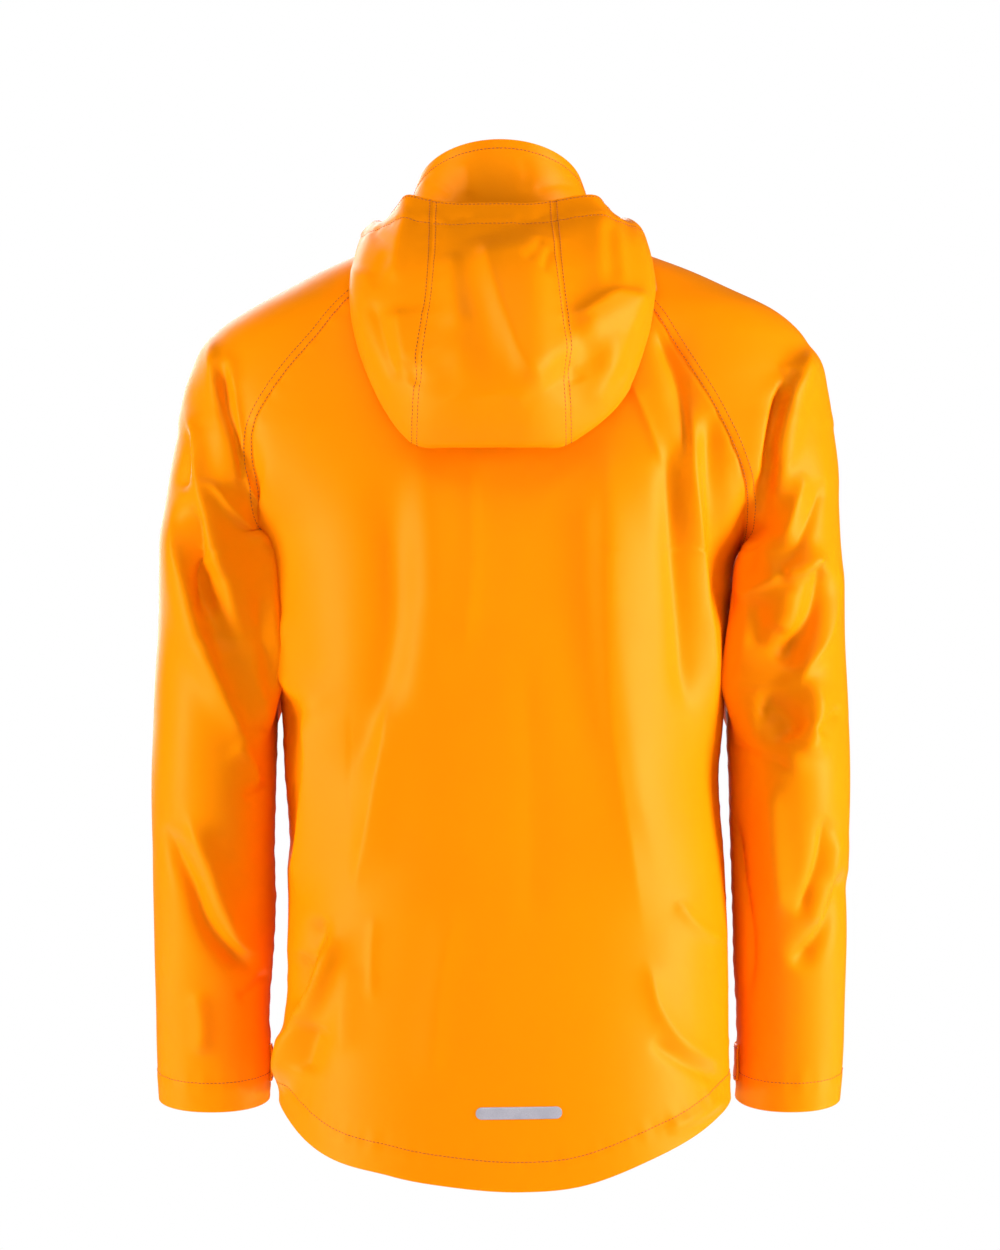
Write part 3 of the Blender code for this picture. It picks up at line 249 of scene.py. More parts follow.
# The hood thrown back, station by station from the centre back round to the throat. Each station runs
# from the neck seam, at its turn, under the hood, round its fold, up its belly and its slope to the edge.
HOOD = table(
    "turn under_x under_y under_z fold_x fold_y fold_z belly_x belly_y belly_z "
    "slope_x slope_y slope_z edge_x edge_y edge_z right_share",
    (0, 0, 121, -95, 0, 165, -172, 0, 197, -132, 0, 178, -48, 0, 112, 20, 1),
    (17, 34, 119, -95, 33, 164, -172, 34, 195, -132, 30, 175, -48, 30, 110, 20, 0.8),
    (36, 62, 110, -90, 66, 152, -169, 64, 181, -128, 54, 160, -44, 52, 102, 23, 0.8),
    (50, 84, 96, -70, 91, 137, -139, 92, 157, -106, 80, 140, -33, 72, 92, 28, 1),
    (66, 98, 80, -43, 111, 112, -90, 112, 128, -68, 98, 114, -18, 80, 77, 21, 1.02),
    (80, 103, 56, -18, 116, 80, -48, 117, 93, -34, 105, 84, -2, 87, 55, 13, 1.02),
    (95, 97, 22, 3, 107, 38, -6, 109, 44, 3, 101, 40, 11, 90, 28, 10, 1.02),
    (108, 89, -12, 5, 97, -8, 3, 98, -4, 9, 95, -4, 14, 87, -6, 12, 1),
    (121, 80, -44, -4, 85, -43, -1, 86, -42, 4, 83, -42, 7, 78, -43, 5, 1),
    (135, 69, -64, -18, 73, -65, -15, 74, -64, -10, 72, -64, -8, 68, -64, -9, 1),
    (150, 53, -79, -41, 56, -81, -38, 57, -81, -33, 55, -81, -31, 51, -80, -32, 1),
    (163, 34, -87, -59, 36, -89, -56, 37, -89, -52, 35, -89, -50, 32, -88, -51, 1),
)
HOOD_SEAM_STATION = 2  # the side panels of the hood are joined to its centre panel here
HOOD_CLEARANCE = 3.0  # how far the hood's underside stays off the back and shoulders
HOOD_SEAM_OUT = 1.1  # its neck edge lies this far out from the neckline,
HOOD_SEAM_UP = 1.2  # and this far above it
HOOD_CLEAR_FROM = 0.12  # share of its length over which it comes clear of the back

COLLAR_HALF_WIDTH = 66.0
COLLAR_BACK = 74.0
COLLAR_FRONT = 79.0
COLLAR_SIDE_TOP = 38.0  # level of the collar's top edge over the shoulders
COLLAR_TILT = 0.48  # its top edge falls by this share towards the front
COLLAR_BOW = 2.5
COLLAR_LIFT = 0.7

PRESS_OUT = 52.0  # the sleeves lie against the body this far behind and in front of its widest line,
PRESS_SPREAD = 19.0  # over this spread,
PRESS_HEAD = -232.0  # from this level
PRESS_HEAD_FADE = 12.0
PRESS_FOOT = -425.0  # down to this one,
PRESS_FOOT_FADE = 75.0
PRESS_INSIDE = 3.5  # and reach this far inside its outline
PRESS_FACING = 0.1  # only cloth that faces inwards by more than this is pressed,
PRESS_TURN = 0.5  # and fully where it does by this much more

VIEW_DISTANCE = 4000.0  # fold routes are written as seen from this far behind,
VIEW_LEVEL = -308.0  # at this level
VIEW_BACK = 1.0
VIEW_FRONT = -1.0
FOLD_TAPER = 0.22  # a fold grows over this share of its length at each end,
FOLD_END = 0.1  # from this much
FOLD_ROUND = 0.2  # it fades where the cloth turns away past the side by this much of its normal,
FOLD_TURN = 0.5  # over this much
FOLD_REACH = 2.6  # and ends this many of its spreads beside its route
ROUTE_STEPS = 6  # a route is drawn with this many pieces between two of its places


Fold = namedtuple("Fold", "face height spread_left spread_right crisp route")


def folds(face, *rows):
    """Folds on the side that faces a viewer behind or in front.

    A row holds a fold's height, or depth where it is negative, how far it reaches to the wearer's left
    and right, how crisp it is, from 2 for a soft roll down to 1 for a sharp crest, and then its route in
    places of (x, level).
    """
    return tuple(Fold(face, *row[:4], row[4:]) for row in rows)


# Folds are broad and lie under the creases, which are narrower.
BODY_FOLDS = folds(
    VIEW_BACK,
    (4.5, 16, 34, 2, (-89, -152), (-90, -288), (-101, -384), (-118, -472), (-141, -516)),
    (-2.5, 30, 16, 2, (-68, -184), (-68, -320), (-80, -432)),
    (3, 22, 26, 2, (56, -160), (56, -292), (69, -384)),
    (-4.5, 22, 20, 2, (88, -168), (90, -320), (125, -440)),
    (3, 16, 16, 2, (90, -360), (104, -512)),
    (3.5, 12, 12, 2, (178, -296), (168, -349), (136, -378)),
    (-4, 12, 14, 2, (-129, -64), (-143, -114), (-149, -163), (-146, -216)),
    (5, 14, 12, 2, (-153, -124), (-160, -254), (-169, -352), (-176, -432)),
    (4, 12, 14, 2, (124, -544), (146, -601), (163, -632), (174, -682)),
) + folds(
    VIEW_FRONT,
    (4, 22, 18, 2, (92, -190), (88, -320), (70, -450)),
    (-4, 18, 22, 2, (-84, -210), (-96, -340), (-120, -470)),
    (4.5, 18, 26, 2, (-52, -360), (-60, -500), (-84, -640)),
    (-4, 24, 18, 2, (44, -400), (58, -520), (96, -650)),
    (4, 14, 14, 2, (140, -120), (150, -220), (158, -330)),
    (4, 14, 14, 2, (-136, -130), (-150, -230), (-164, -350)),
)
LEFT_SLEEVE_FOLDS = folds(
    VIEW_BACK,
    (4.5, 12, 12, 2, (231, -76), (228, -100), (222, -138), (214, -200)),
    (-6, 12, 12, 2, (219, -100), (214, -130), (207, -163), (200, -196), (187, -224)),
    (5, 12, 12, 2, (250, -128), (243, -163), (239, -196), (231, -237), (222, -264), (210, -314)),
    (5, 13, 10, 2, (262, -204), (257, -262), (248, -299), (236, -330), (208, -396)),
    (-6, 12, 14, 2, (236, -256), (230, -296), (229, -332)),
    (-4, 12, 11, 2, (267, -468), (248, -515), (234, -550), (218, -570), (194, -587)),
    (4, 12, 12, 2, (246, -460), (228, -512), (210, -552), (187, -570)),
) + folds(
    VIEW_FRONT,
    (4.5, 14, 14, 2, (236, -150), (226, -230), (212, -310)),
    (-5, 14, 14, 2, (196, -370), (226, -392), (262, -388)),
    (4, 13, 13, 2, (196, -400), (228, -424), (262, -420)),
    (-4, 14, 14, 2, (262, -470), (236, -530), (204, -566)),
)
RIGHT_SLEEVE_FOLDS = folds(
    VIEW_BACK,
    (6, 12, 11, 2, (-250, -84), (-239, -111), (-230, -138), (-221, -188), (-211, -214)),
    (-7, 11, 11, 2, (-226, -112), (-222, -138), (-215, -179), (-210, -212), (-202, -240)),
    (5, 12, 12, 2, (-189, -291), (-228, -265), (-266, -256)),
    (-5.5, 12, 12, 2, (-262, -264), (-250, -298), (-238, -324), (-219, -342)),
    (4, 12, 12, 2, (-245, -360), (-251, -384), (-245, -404), (-224, -419)),
    (-3.5, 12, 12, 2, (-274, -502), (-257, -554), (-232, -582)),
) + folds(
    VIEW_FRONT,
    (4.5, 14, 14, 2, (-242, -140), (-230, -220), (-216, -300)),
    (-5, 14, 14, 2, (-200, -356), (-230, -384), (-264, -372)),
    (4, 13, 13, 2, (-200, -392), (-232, -414), (-264, -404)),
    (-4, 14, 14, 2, (-266, -450), (-242, -520), (-208, -548)),
)
BODY_CREASES = folds(
    VIEW_BACK,
    (
        7.8, 22, 22, 1.15,
        (-87, -160), (-86, -239), (-86, -298), (-89, -385), (-96, -443), (-107, -515), (-116, -559),
    ),
    (1.9, 16, 24, 2, (56, -160), (53, -232), (54, -304)),
    (-3.1, 10, 16, 1.8, (87, -208), (87, -326), (99, -379), (122, -437)),
    (3.1, 8, 9, 1.15, (90, -360), (96, -414), (105, -466), (114, -510), (118, -530)),
    (7.8, 5, 12, 1.15, (158, -365), (153, -414), (157, -458), (163, -527)),
    (-6.6, 7, 7, 1.8, (166, -360), (165, -432), (170, -504)),
    (1.9, 4, 5, 1.15, (101, -540), (103, -576), (102, -611)),
    (2.6, 9, 12, 1.8, (118, -576), (124, -608), (127, -654)),
    (12, 9, 6, 1.15, (130, -557), (146, -601), (162, -626), (170, -651), (175, -682)),
    (-9.6, 8, 7, 1.8, (142, -540), (156, -587), (166, -618)),
    (-8.4, 8, 10, 1.3, (160, -568), (166, -608), (173, -640)),
    (-7.2, 9, 11, 1.7, (146, -626), (158, -666)),
    (2.6, 5, 6, 1.15, (-104, -112), (-117, -144), (-130, -181)),
    (-4.1, 5, 6, 1.3, (-124, -69), (-142, -114), (-147, -142), (-149, -178)),
    (
        6, 9, 5, 1.15,
        (-150, -122), (-153, -142), (-155, -179), (-161, -235), (-167, -294), (-170, -329), (-172, -384),
    ),
    (-5.5, 10, 8, 1.7, (-134, -154), (-138, -240), (-146, -328), (-150, -381)),
    (-7.2, 9, 10, 1.8, (-167, -132), (-171, -224), (-178, -312)),
    (6, 5, 9, 1.15, (187, -173), (186, -224), (183, -288), (178, -333), (168, -358), (146, -382)),
    (2.4, 10, 7, 1.8, (24, -170), (21, -256), (30, -336)),
    (-1.9, 9, 14, 1.8, (-16, -320), (-26, -448), (-22, -576)),
    (2.2, 14, 9, 1.8, (36, -528), (50, -608), (56, -680)),
    (4.8, 6, 11, 1.15, (-117, -576), (-126, -616), (-146, -643), (-179, -661)),
    (-4.1, 5, 6, 1.3, (-120, -640), (-147, -658), (-181, -674)),
    (4.1, 5, 6, 1.15, (-131, -712), (-157, -701), (-182, -685)),
    (3.6, 5, 8, 1.15, (-138, -528), (-160, -552), (-182, -563)),
) + folds(
    VIEW_FRONT,
    (4.1, 5, 8, 1.15, (168, -205), (160, -262), (138, -318)),
    (-4.1, 6, 6, 1.7, (158, -190), (150, -250), (126, -310)),
    (3.8, 8, 5, 1.15, (-170, -210), (-158, -276), (-130, -334)),
    (-3.6, 6, 7, 1.7, (-160, -196), (-146, -262), (-118, -322)),
    (4.3, 6, 14, 1.15, (20, -346), (34, -430), (40, -530), (66, -640)),
    (-3.1, 9, 9, 1.8, (-22, -350), (-30, -450), (-50, -560)),
    (2.9, 6, 6, 1.15, (112, -420), (122, -520), (150, -640)),
    (3.6, 6, 9, 1.15, (-118, -400), (-126, -520), (-150, -650)),
    (-2.9, 5, 5, 1.3, (60, -120), (82, -160), (92, -214)),
    (-2.9, 5, 5, 1.3, (-58, -126), (-76, -170), (-88, -232)),
)
SLEEVE_CREASES = folds(
    VIEW_BACK,
    (5.1, 5, 5, 1.15, (230, -74), (230, -95), (227, -118), (218, -146), (212, -179), (213, -200)),
    (5.4, 5, 5, 1.15, (219, -88), (210, -118), (207, -146), (202, -194), (192, -212), (186, -222)),
    (-8, 5, 6, 1.8, (225, -96), (220, -132), (210, -165), (206, -192)),
    (
        7, 6, 7, 1.15, (253, -126), (246, -149), (243, -179), (238, -207), (230, -245),
        (218, -273), (211, -302), (206, -332),
    ),
    (-5.8, 6, 5, 1.8, (251, -148), (249, -178), (256, -203)),
    (-11.2, 9, 7, 1.3, (246, -208), (242, -244), (238, -280), (229, -306)),
    (5.8, 4, 12, 1.15, (241, -194), (230, -198), (218, -212), (199, -234), (185, -254)),
    (
        8.6, 10, 5, 1.15, (263, -212), (258, -247), (250, -282), (243, -313), (232, -339),
        (218, -370), (207, -393), (198, -416),
    ),
    (2.9, 6, 6, 1.15, (195, -320), (192, -353), (186, -377), (182, -392)),
    (-3.2, 6, 6, 1.8, (194, -280), (190, -320), (184, -368)),
    (-1.9, 2.6, 3.4, 1.3, (212, -394), (197, -393), (182, -394)),
    (-1.9, 2.6, 3.4, 1.3, (205, -447), (194, -442), (182, -434)),
    (4.2, 9, 5, 1.15, (213, -402), (198, -418), (194, -440)),
    (-7, 5, 8, 1.3, (269, -466), (259, -493), (248, -515), (234, -550), (218, -570), (194, -587)),
    (5.4, 7, 7, 1.15, (251, -458), (234, -498), (219, -538), (205, -563), (186, -573)),
    (-3.8, 5, 5, 1.3, (210, -608), (197, -600), (183, -586)),
    (3.5, 8, 8, 1.8, (243, -600), (238, -632), (241, -654)),
    (9, 5, 12, 1.15, (-248, -85), (-239, -111), (-233, -123), (-229, -137), (-224, -154), (-222, -182)),
    (-9.6, 6, 6, 1.8, (-227, -112), (-221, -140), (-216, -168), (-212, -192), (-208, -212)),
    (5.4, 7, 4, 1.15, (-226, -106), (-215, -132), (-210, -154), (-208, -179), (-206, -202)),
    (1.9, 4, 4, 2, (-224, -107), (-232, -103), (-239, -107)),
    (-4.8, 8, 8, 1.3, (-262, -190), (-248, -226), (-234, -251), (-225, -265)),
    (5.4, 8, 8, 1.7, (-243, -184), (-234, -220), (-226, -246)),
    (5.8, 4, 10, 1.15, (-225, -266), (-238, -266), (-252, -260), (-264, -254)),
    (4.8, 9, 4, 1.15, (-227, -266), (-213, -274), (-194, -284), (-186, -290)),
    (-9.6, 8, 8, 1.3, (-262, -254), (-257, -282), (-248, -306), (-234, -324), (-218, -339)),
    (-4.2, 7, 7, 1.8, (-205, -288), (-206, -306), (-205, -328)),
    (4.2, 14, 13, 2, (-227, -277), (-229, -298), (-222, -315)),
    (5.1, 9, 6, 1.15, (-274, -256), (-270, -288), (-261, -320), (-246, -342), (-237, -360)),
    (-2.2, 3, 4, 1.3, (-178, -359), (-210, -355), (-232, -349)),
    (-2.2, 3, 4, 1.3, (-184, -402), (-203, -413), (-232, -422)),
    (5.8, 9, 11, 1.7, (-245, -349), (-254, -368), (-253, -390), (-243, -414)),
    (-9, 14, 12, 1.8, (-206, -373), (-224, -378), (-237, -397)),
    (-4.8, 4, 6, 1.3, (-274, -374), (-262, -385), (-253, -396)),
    (-3.8, 4, 4, 1.3, (-188, -458), (-193, -502), (-201, -562), (-199, -608)),
    (4.5, 12, 9, 1.8, (-216, -434), (-219, -488), (-224, -544)),
    (-5.8, 5, 8, 1.3, (-262, -460), (-254, -502), (-237, -542)),
    (-5.8, 5, 8, 1.3, (-276, -502), (-257, -554), (-232, -582)),
    (4.5, 7, 7, 1.7, (-272, -472), (-264, -512), (-246, -552)),
    (-2.2, 5, 5, 1.8, (-206, -224), (-202, -245), (-195, -272)),
) + folds(
    VIEW_FRONT,
    (5.8, 5, 6, 1.15, (246, -92), (240, -140), (228, -190), (214, -236)),
    (-6.4, 5, 5, 1.8, (234, -100), (226, -150), (212, -210)),
    (6.4, 11, 5, 1.15, (270, -250), (258, -310), (238, -362), (206, -392)),
    (-6.1, 7, 6, 1.7, (252, -270), (240, -330), (214, -370)),
    (5.1, 5, 9, 1.15, (196, -300), (222, -332), (252, -338)),
    (-5.4, 6, 6, 1.7, (268, -404), (238, -430), (196, -428)),
    (5.1, 6, 6, 1.15, (266, -440), (236, -462), (200, -452)),
    (-5.1, 5, 7, 1.3, (262, -520), (240, -566), (206, -590)),
    (6.4, 5, 8, 1.15, (-256, -88), (-246, -140), (-232, -196), (-216, -244)),
    (-7, 5, 5, 1.8, (-240, -96), (-232, -150), (-216, -214)),
    (6.7, 5, 11, 1.15, (-272, -240), (-260, -300), (-240, -350), (-208, -380)),
    (-6.1, 6, 6, 1.7, (-256, -262), (-244, -318), (-216, -356)),
    (-5.4, 6, 6, 1.7, (-270, -396), (-240, -418), (-200, -410)),
    (5.4, 6, 6, 1.15, (-268, -430), (-238, -450), (-204, -438)),
    (-5.1, 7, 5, 1.3, (-264, -500), (-244, -552), (-210, -580)),
)
HOOD_CREASES = folds(
    VIEW_BACK,
    (14.4, 12, 75, 1.15, (18, 3), (11, -18), (4, -40), (-5, -65), (-12, -84), (-25, -106), (-36, -122)),
    (-2.1, 4, 5, 1.3, (-31, -2), (-26, -13), (-18, -23)),
    (-2.1, 3, 4, 1.3, (-37, -11), (-33, -21), (-30, -30)),
    (-2.3, 16, 13, 2, (50, -88), (43, -108), (35, -126)),
    (3, 12, 8, 1.7, (38, -8), (36, -40), (30, -72)),
    (7.5, 40, 6, 1.15, (-51, -70), (-77, -52), (-89, -45), (-102, -46), (-122, -51)),
    (1.6, 7, 6, 1.8, (-81, 26), (-78, -11), (-78, -50)),
    (-1.1, 5, 5, 1.8, (-85, 14), (-86, -8), (-88, -35)),
    (1.8, 7, 5, 1.7, (-90, 21), (-93, 3), (-95, -18), (-98, -42)),
    (-2.5, 4, 4, 1.3, (-54, -99), (-58, -106), (-62, -115)),
    (-2.3, 3, 4, 1.3, (-53, -65), (-59, -66), (-67, -64)),
    (5.2, 10, 18, 1.15, (82, -53), (78, -80), (74, -104)),
    (-3, 5, 6, 1.7, (102, -48), (93, -80), (82, -115)),
    (2.1, 6, 6, 1.7, (76, 28), (78, 10), (82, -4), (84, -20), (87, -35)),
    (-2.9, 18, 18, 2, (98, 14), (109, 0), (120, -24)),
    (-1.4, 5, 6, 1.7, (91, -8), (96, -18), (102, -38)),
    (-2.5, 4, 4, 1.3, (73, -98), (70, -106), (68, -117)),
    (-1.6, 3, 3, 1.3, (45, 14), (34, 17), (21, 18)),
    (-1.4, 3, 3, 1.3, (-12, 18), (-24, 15), (-36, 17)),
    (2.8, 9, 9, 1.8, (-90, -72), (-85, -104), (-72, -134)),
    (-2.5, 7, 7, 1.8, (-112, -64), (-104, -93), (-90, -122)),
    (2.1, 6, 9, 1.15, (24, -128), (0, -122), (-24, -131)),
)
COLLAR_CREASES = folds(
    VIEW_BACK,
    (-1.6, 4, 4, 1.3, (61, 46), (50, 43), (38, 35)),
    (-1.6, 4, 4, 1.3, (-62, 43), (-45, 45), (-26, 40)),
    (1.4, 6, 6, 1.8, (30, 64), (24, 50), (27, 35)),
    (-1.2, 5, 5, 1.8, (-16, 67), (-22, 53), (-18, 38)),
)

ZIP_SLIT = 4.0  # half the slit in the front
ZIP_BOTTOM = -330.0
ZIP_TEETH = 2.8  # half the width of the closed teeth
ZIP_TAPE = 10.5  # how far a tape reaches from the middle
ZIP_STEP = 2.0  # the zip's route is read at this spacing,
ZIP_SMOOTH = 9  # and smoothed over this many places
ZIP_FOOT_GAP = 0.8
ZIP_END = 8.0  # teeth and tapes end this far below the collar's top edge
TAPE_COLUMNS = 7
TAPE_WALL = 0.7
TAPE_DEPTH = 1.6  # the tapes lie this far behind the cloth's face
TAPE_EDGE = 0.2
TAPE_PAST = 5.0  # they end this far below the foot of the slit
SLIT_STITCH = 9.0  # how far the stitches lie beside the slit and below it
FOOT_STITCH_RISE = 3.0  # the row across its foot lies this much higher
FOOT_STITCH_PLACES = 9

TOOTH_PITCH = 2.9
TOOTH_HALF = 0.62
TOOTH_OUT = (-1.4, 0.5)  # from behind the cloth's face to in front of it
TOOTH_HOOK = 0.35  # a tooth's body starts this far from the middle,
TOOTH_HEAD = 1.15  # and its head reaches back over it by this much
TOOTH_HEAD_SHARE = (1, 0.8, 0.62)
TOOTH_ROUND = 0.14

SLIDER_TOP = 4.5  # below the top end of the teeth's line
SLIDER_HEIGHT = 11.0
SLIDER_HALF_WIDTH = 3.7
SLIDER_FRONT = (0.75, 2.2)
SLIDER_REAR = (-4.5, -3.25)
SLIDER_NARROWING = 0.72
SLIDER_ROUND = 0.5
POST_HALF_WIDTH = 0.9
POST_OUT = (-3.4, 0.9)
POST_UP = (-3.0, -0.5)
POST_ROUND = 0.2
LUG_INNER = 1.85
LUG_OUTER = 2.9
LUG_FOOT = 2.0
LUG_PAST_PIN = 1.2
LUG_HALF_HEIGHT = 1.4
LUG_ROUND = 0.4
PIN_OUT = 4.2  # the pull's pin stands this far in front of the cloth's face
PIN_DROP = 3.0
PIN_RADIUS = 0.5
PIN_LENGTH = 4.8
PIN_ROUND = 0.1

PULL_LENGTH = 20.0
PULL_HALF_WIDTH = 2.6
PULL_THICKNESS = 1.4
PULL_SHOULDER = 6.0  # its plate starts this far below the pin,
PULL_TAPER = 2.6  # narrows over this height
PULL_TAPER_SHARE = (0.58, 0.9, 1)
PULL_NECK = 2.0  # and goes on to the ring as a neck
PULL_RIM = 0.8  # width of the rim round the bed in either face
PULL_BED = 0.25  # how deep the bed is
PULL_BED_TOP = 7.0  # the bed's face has its middle lower than this
PULL_ROUND = 0.22
PULL_SETTLE = 4.0  # degrees by which its tip lies closer to the teeth than its pin does
RING_RADIUS = 1.42
RING_THICKNESS = 0.5
RING_BREADTH = 2.4  # the ring is this much broader along the pin than it is thick

FACING = 0.9  # a face looks a way where its normal has at least this much of it
SMOOTH_ANGLE = 40  # degrees; edges sharper than this stay crisp

STRIP_MIDDLE = (-14.6, -684.8)  # x and level of the reflective strip's middle, low on the back
STRIP_SIZE = (66.5, 9.4)
STRIP_RISE = 0.012  # it climbs by this share to the wearer's right
STRIP_ROUND = 4.5
STRIP_COLUMNS = 61
STRIP_ROWS = 9
FILM_THICKNESS = 0.25
FILM_GAP = 0.06
BEHIND_ALL = 400.0  # a place behind the whole garment

CUFF_TAB_LEVELS = (-646.0, -676.0)
TAB_SHARES = (0.79, 1.04)  # of the sleeve's girth, round its inner edge
TAB_LENGTH = 58.0
TAB_COLUMNS = 40
TAB_ROWS = 21
TAB_ROUND = 9.0
TAB_THICKNESS = 1.6
TAB_PLUMP = 0.5
TAB_SEAM = 2  # the stitches run this many rows in from the tab's edge,
TAB_DENT = 0.35  # and pull in this deep

FLOOR_LEVEL = -1.45  # metres, as under someone who stands
FLOOR_RADIUS = 3.0
LIGHTS_AIM = (0, 0, -0.35)
# Name, place, width and height in metres, and power of each light.
SOFTBOXES = (
    ("softbox_right", (-2.95, 0.72, -0.3), (0.8, 2.4), 138),
    ("softbox_left", (2.9, 1.1, -0.3), (0.8, 2.4), 94),
    ("softbox_camera", (0, 4.9, 0.5), (2.4, 1.8), 34),
    ("softbox_top", (0, 2.0, 2.0), (2.4, 1.2), 34),
    ("softbox_front", (0.9, -3.0, 0.7), (2.2, 2.4), 90),
)
ROOM_LIGHT = 0.06
ROOM_REFLECTED = 0.04
CAMERA_LENS = 144
CAMERA_SENSOR = 36

PATTERN_TURN = 6.283  # a wave pattern repeats after one full turn
MIX_COLOUR = 2  # which of a mix node's outputs is the colour


def curve_at(columns, key, value, places):
    """Reads a column of a table on a smooth curve through its rows."""
    order = np.argsort(columns[key])
    knots = columns[key][order]
    values = columns[value][order]
    steps = np.diff(knots)
    slopes = np.diff(values) / steps
    tangents = np.empty_like(values)
    tangents[1:-1] = (slopes[:-1] * steps[1:] + slopes[1:] * steps[:-1]) / (steps[:-1] + steps[1:])
    tangents[0] = slopes[0]
    tangents[-1] = slopes[-1]
    places = np.clip(places, knots[0], knots[-1])
    row = np.clip(np.searchsorted(knots, places) - 1, 0, len(steps) - 1)
    step = steps[row]
    s = (places - knots[row]) / step
    start = (1 + 2 * s) * (1 - s) ** 2 * values[row] + s * (1 - s) ** 2 * step * tangents[row]
    end = s * s * (3 - 2 * s) * values[row + 1] + s * s * (s - 1) * step * tangents[row + 1]
    return start + end


def smoothstep(s):
    s = np.clip(s, 0.0, 1.0)
    return s * s * (3 - 2 * s)


def power(value, exponent):
    return np.sign(value) * np.abs(value) ** exponent


def bell(offset, spread):
    """1 in the middle, falling off smoothly over its spread."""
    return np.exp(-((offset / spread) ** 2))


def unit(vectors):
    return vectors / np.maximum(np.linalg.norm(vectors, axis=-1, keepdims=True), TINY)


def running_length(line):
    """How far along a line each of its places is."""
    return np.concatenate([[0], np.cumsum(np.linalg.norm(np.diff(line, axis=0), axis=1))])


def read_line(places, before, values):
    """Reads values that are given at lengths along a line at other places along it."""
    return np.stack([np.interp(places, before, column) for column in values.T], axis=-1)


def side_name(side):
    return "left" if side > 0 else "right"


def half_width(side, level):
    return curve_at(BODY, "level", side_name(side), level)


def width_beside(x, level):
    """The body's half width on the side that x is on."""
    return np.where(x > 0, half_width(LEFT, level), half_width(RIGHT, level))


def depth_towards(y, level):
    """How far the body stands out behind or in front, wherever y is."""
    return np.where(y > 0, curve_at(BODY, "level", "back", level), curve_at(BODY, "level", "front", level))


def body_point(turn, level):
    """The body's surface at a turn and a level."""
    sine = np.sin(np.radians(turn))
    cosine = np.cos(np.radians(turn))
    x = width_beside(sine, level) * power(sine, 2 / OVAL)
    y = depth_towards(cosine, level) * power(cosine, 2 / OVAL)
    return np.stack([x, y, level + 0 * x], axis=-1)


def turn_at(x, width):
    """The turn at which an oval of this half width is x from the middle."""
    return np.degrees(np.arcsin(np.clip(x / width, 0, 1) ** (OVAL / 2)))


def back_edge_turn(side, level):
    x = curve_at(RAGLAN, "level", side_name(side), level)
    return np.where(level > ARMPIT, turn_at(x, half_width(side, level)), 90.0)


def front_edge_turn(level):
    x = curve_at(RAGLAN, "level", "front", level)
    return 180 - np.where(level > ARMPIT, turn_at(x, half_width(LEFT, level)), 90.0)


def neck_point(turn):
    """The neckline at a turn."""
    x, y, z = (curve_at(NECK, "turn", name, np.abs(turn)) for name in "xyz")
    return np.stack([np.sign(turn) * x, y, z], axis=-1)


def neck_pull(row):
    """How much a row follows the neckline: all of it at the top row and nothing further down."""
    return 1 - smoothstep(-row / NECK_FADE)


def ring_pull(row):
    return 1 - smoothstep(-row / RING_FADE)


def hem_pull(row):
    return smoothstep((HEM_SIDE + HEM_FADE - row) / HEM_FADE)


def rows_between(bands):
    """Row levels from bands of (lowest level, number of rows), counted down from 0."""
    rows = [0.0]
    for lowest, count in bands:
        rows.extend(np.linspace(rows[-1], lowest, count + 1)[1:])
    return np.array(rows)


BODY_ROWS = rows_between(ROW_BANDS)
ARMPIT_ROW = int(np.argmin(np.abs(BODY_ROWS - ARMPIT)))


def smooth_route(route):
    """A fold's route as a smooth line of many short pieces."""
    route = np.array(route, float)
    before = running_length(route)
    places = np.linspace(0, before[-1], ROUTE_STEPS * (len(route) - 1) + 1)
    path = {"along": before, "x": route[:, 0], "level": route[:, 1]}
    return np.stack([curve_at(path, "along", name, places) for name in ("x", "level")], axis=-1)


def body_distance(points):
    """About how far each point is outside the body's sections, and which way is out."""

    def oval(places):
        x, y, z = places.T
        reach = np.abs(x / width_beside(x, z)) ** OVAL + np.abs(y / depth_towards(y, z)) ** OVAL
        return reach ** (1 / OVAL) - 1

    ways = SLOPE_STEP * np.eye(3)
    slope = np.stack([oval(points + way) - oval(points - way) for way in ways], axis=-1) / (2 * SLOPE_STEP)
    steepness = np.maximum(np.linalg.norm(slope, axis=1), LEAST_SLOPE)
    return oval(points) / steepness, slope / steepness[:, None]


def clear_of_body(points, clearance):
    for _ in range(CLEARING_ROUNDS):
        distance, way = body_distance(points)
        points = points + way * np.maximum(clearance - distance, 0)[:, None]
    return points


Sheet = namedtuple("Sheet", "points faces shape")


def grid_faces(rows, columns, flip=False, skip=()):
    """Quads of a grid, wound to face out where the columns run clockwise seen from above."""
    corner = np.arange((rows - 1) * columns).reshape(rows - 1, columns)[:, :-1]
    kept = np.ones(corner.shape, bool)
    for row, column in skip:
        kept[row, column] = False
    a = corner[kept]
    faces = np.stack([a, a + columns, a + columns + 1, a + 1], axis=1)
    return faces[:, ::-1] if flip else faces


def sheet_of(grid, flip=False, skip=()):
    """A sheet of cloth from a grid of points."""
    rows, columns = grid.shape[:2]
    return Sheet(grid.reshape(-1, 3), grid_faces(rows, columns, flip, skip), (rows, columns))


def grid_of(sheet):
    return sheet.points.reshape(*sheet.shape, 3)


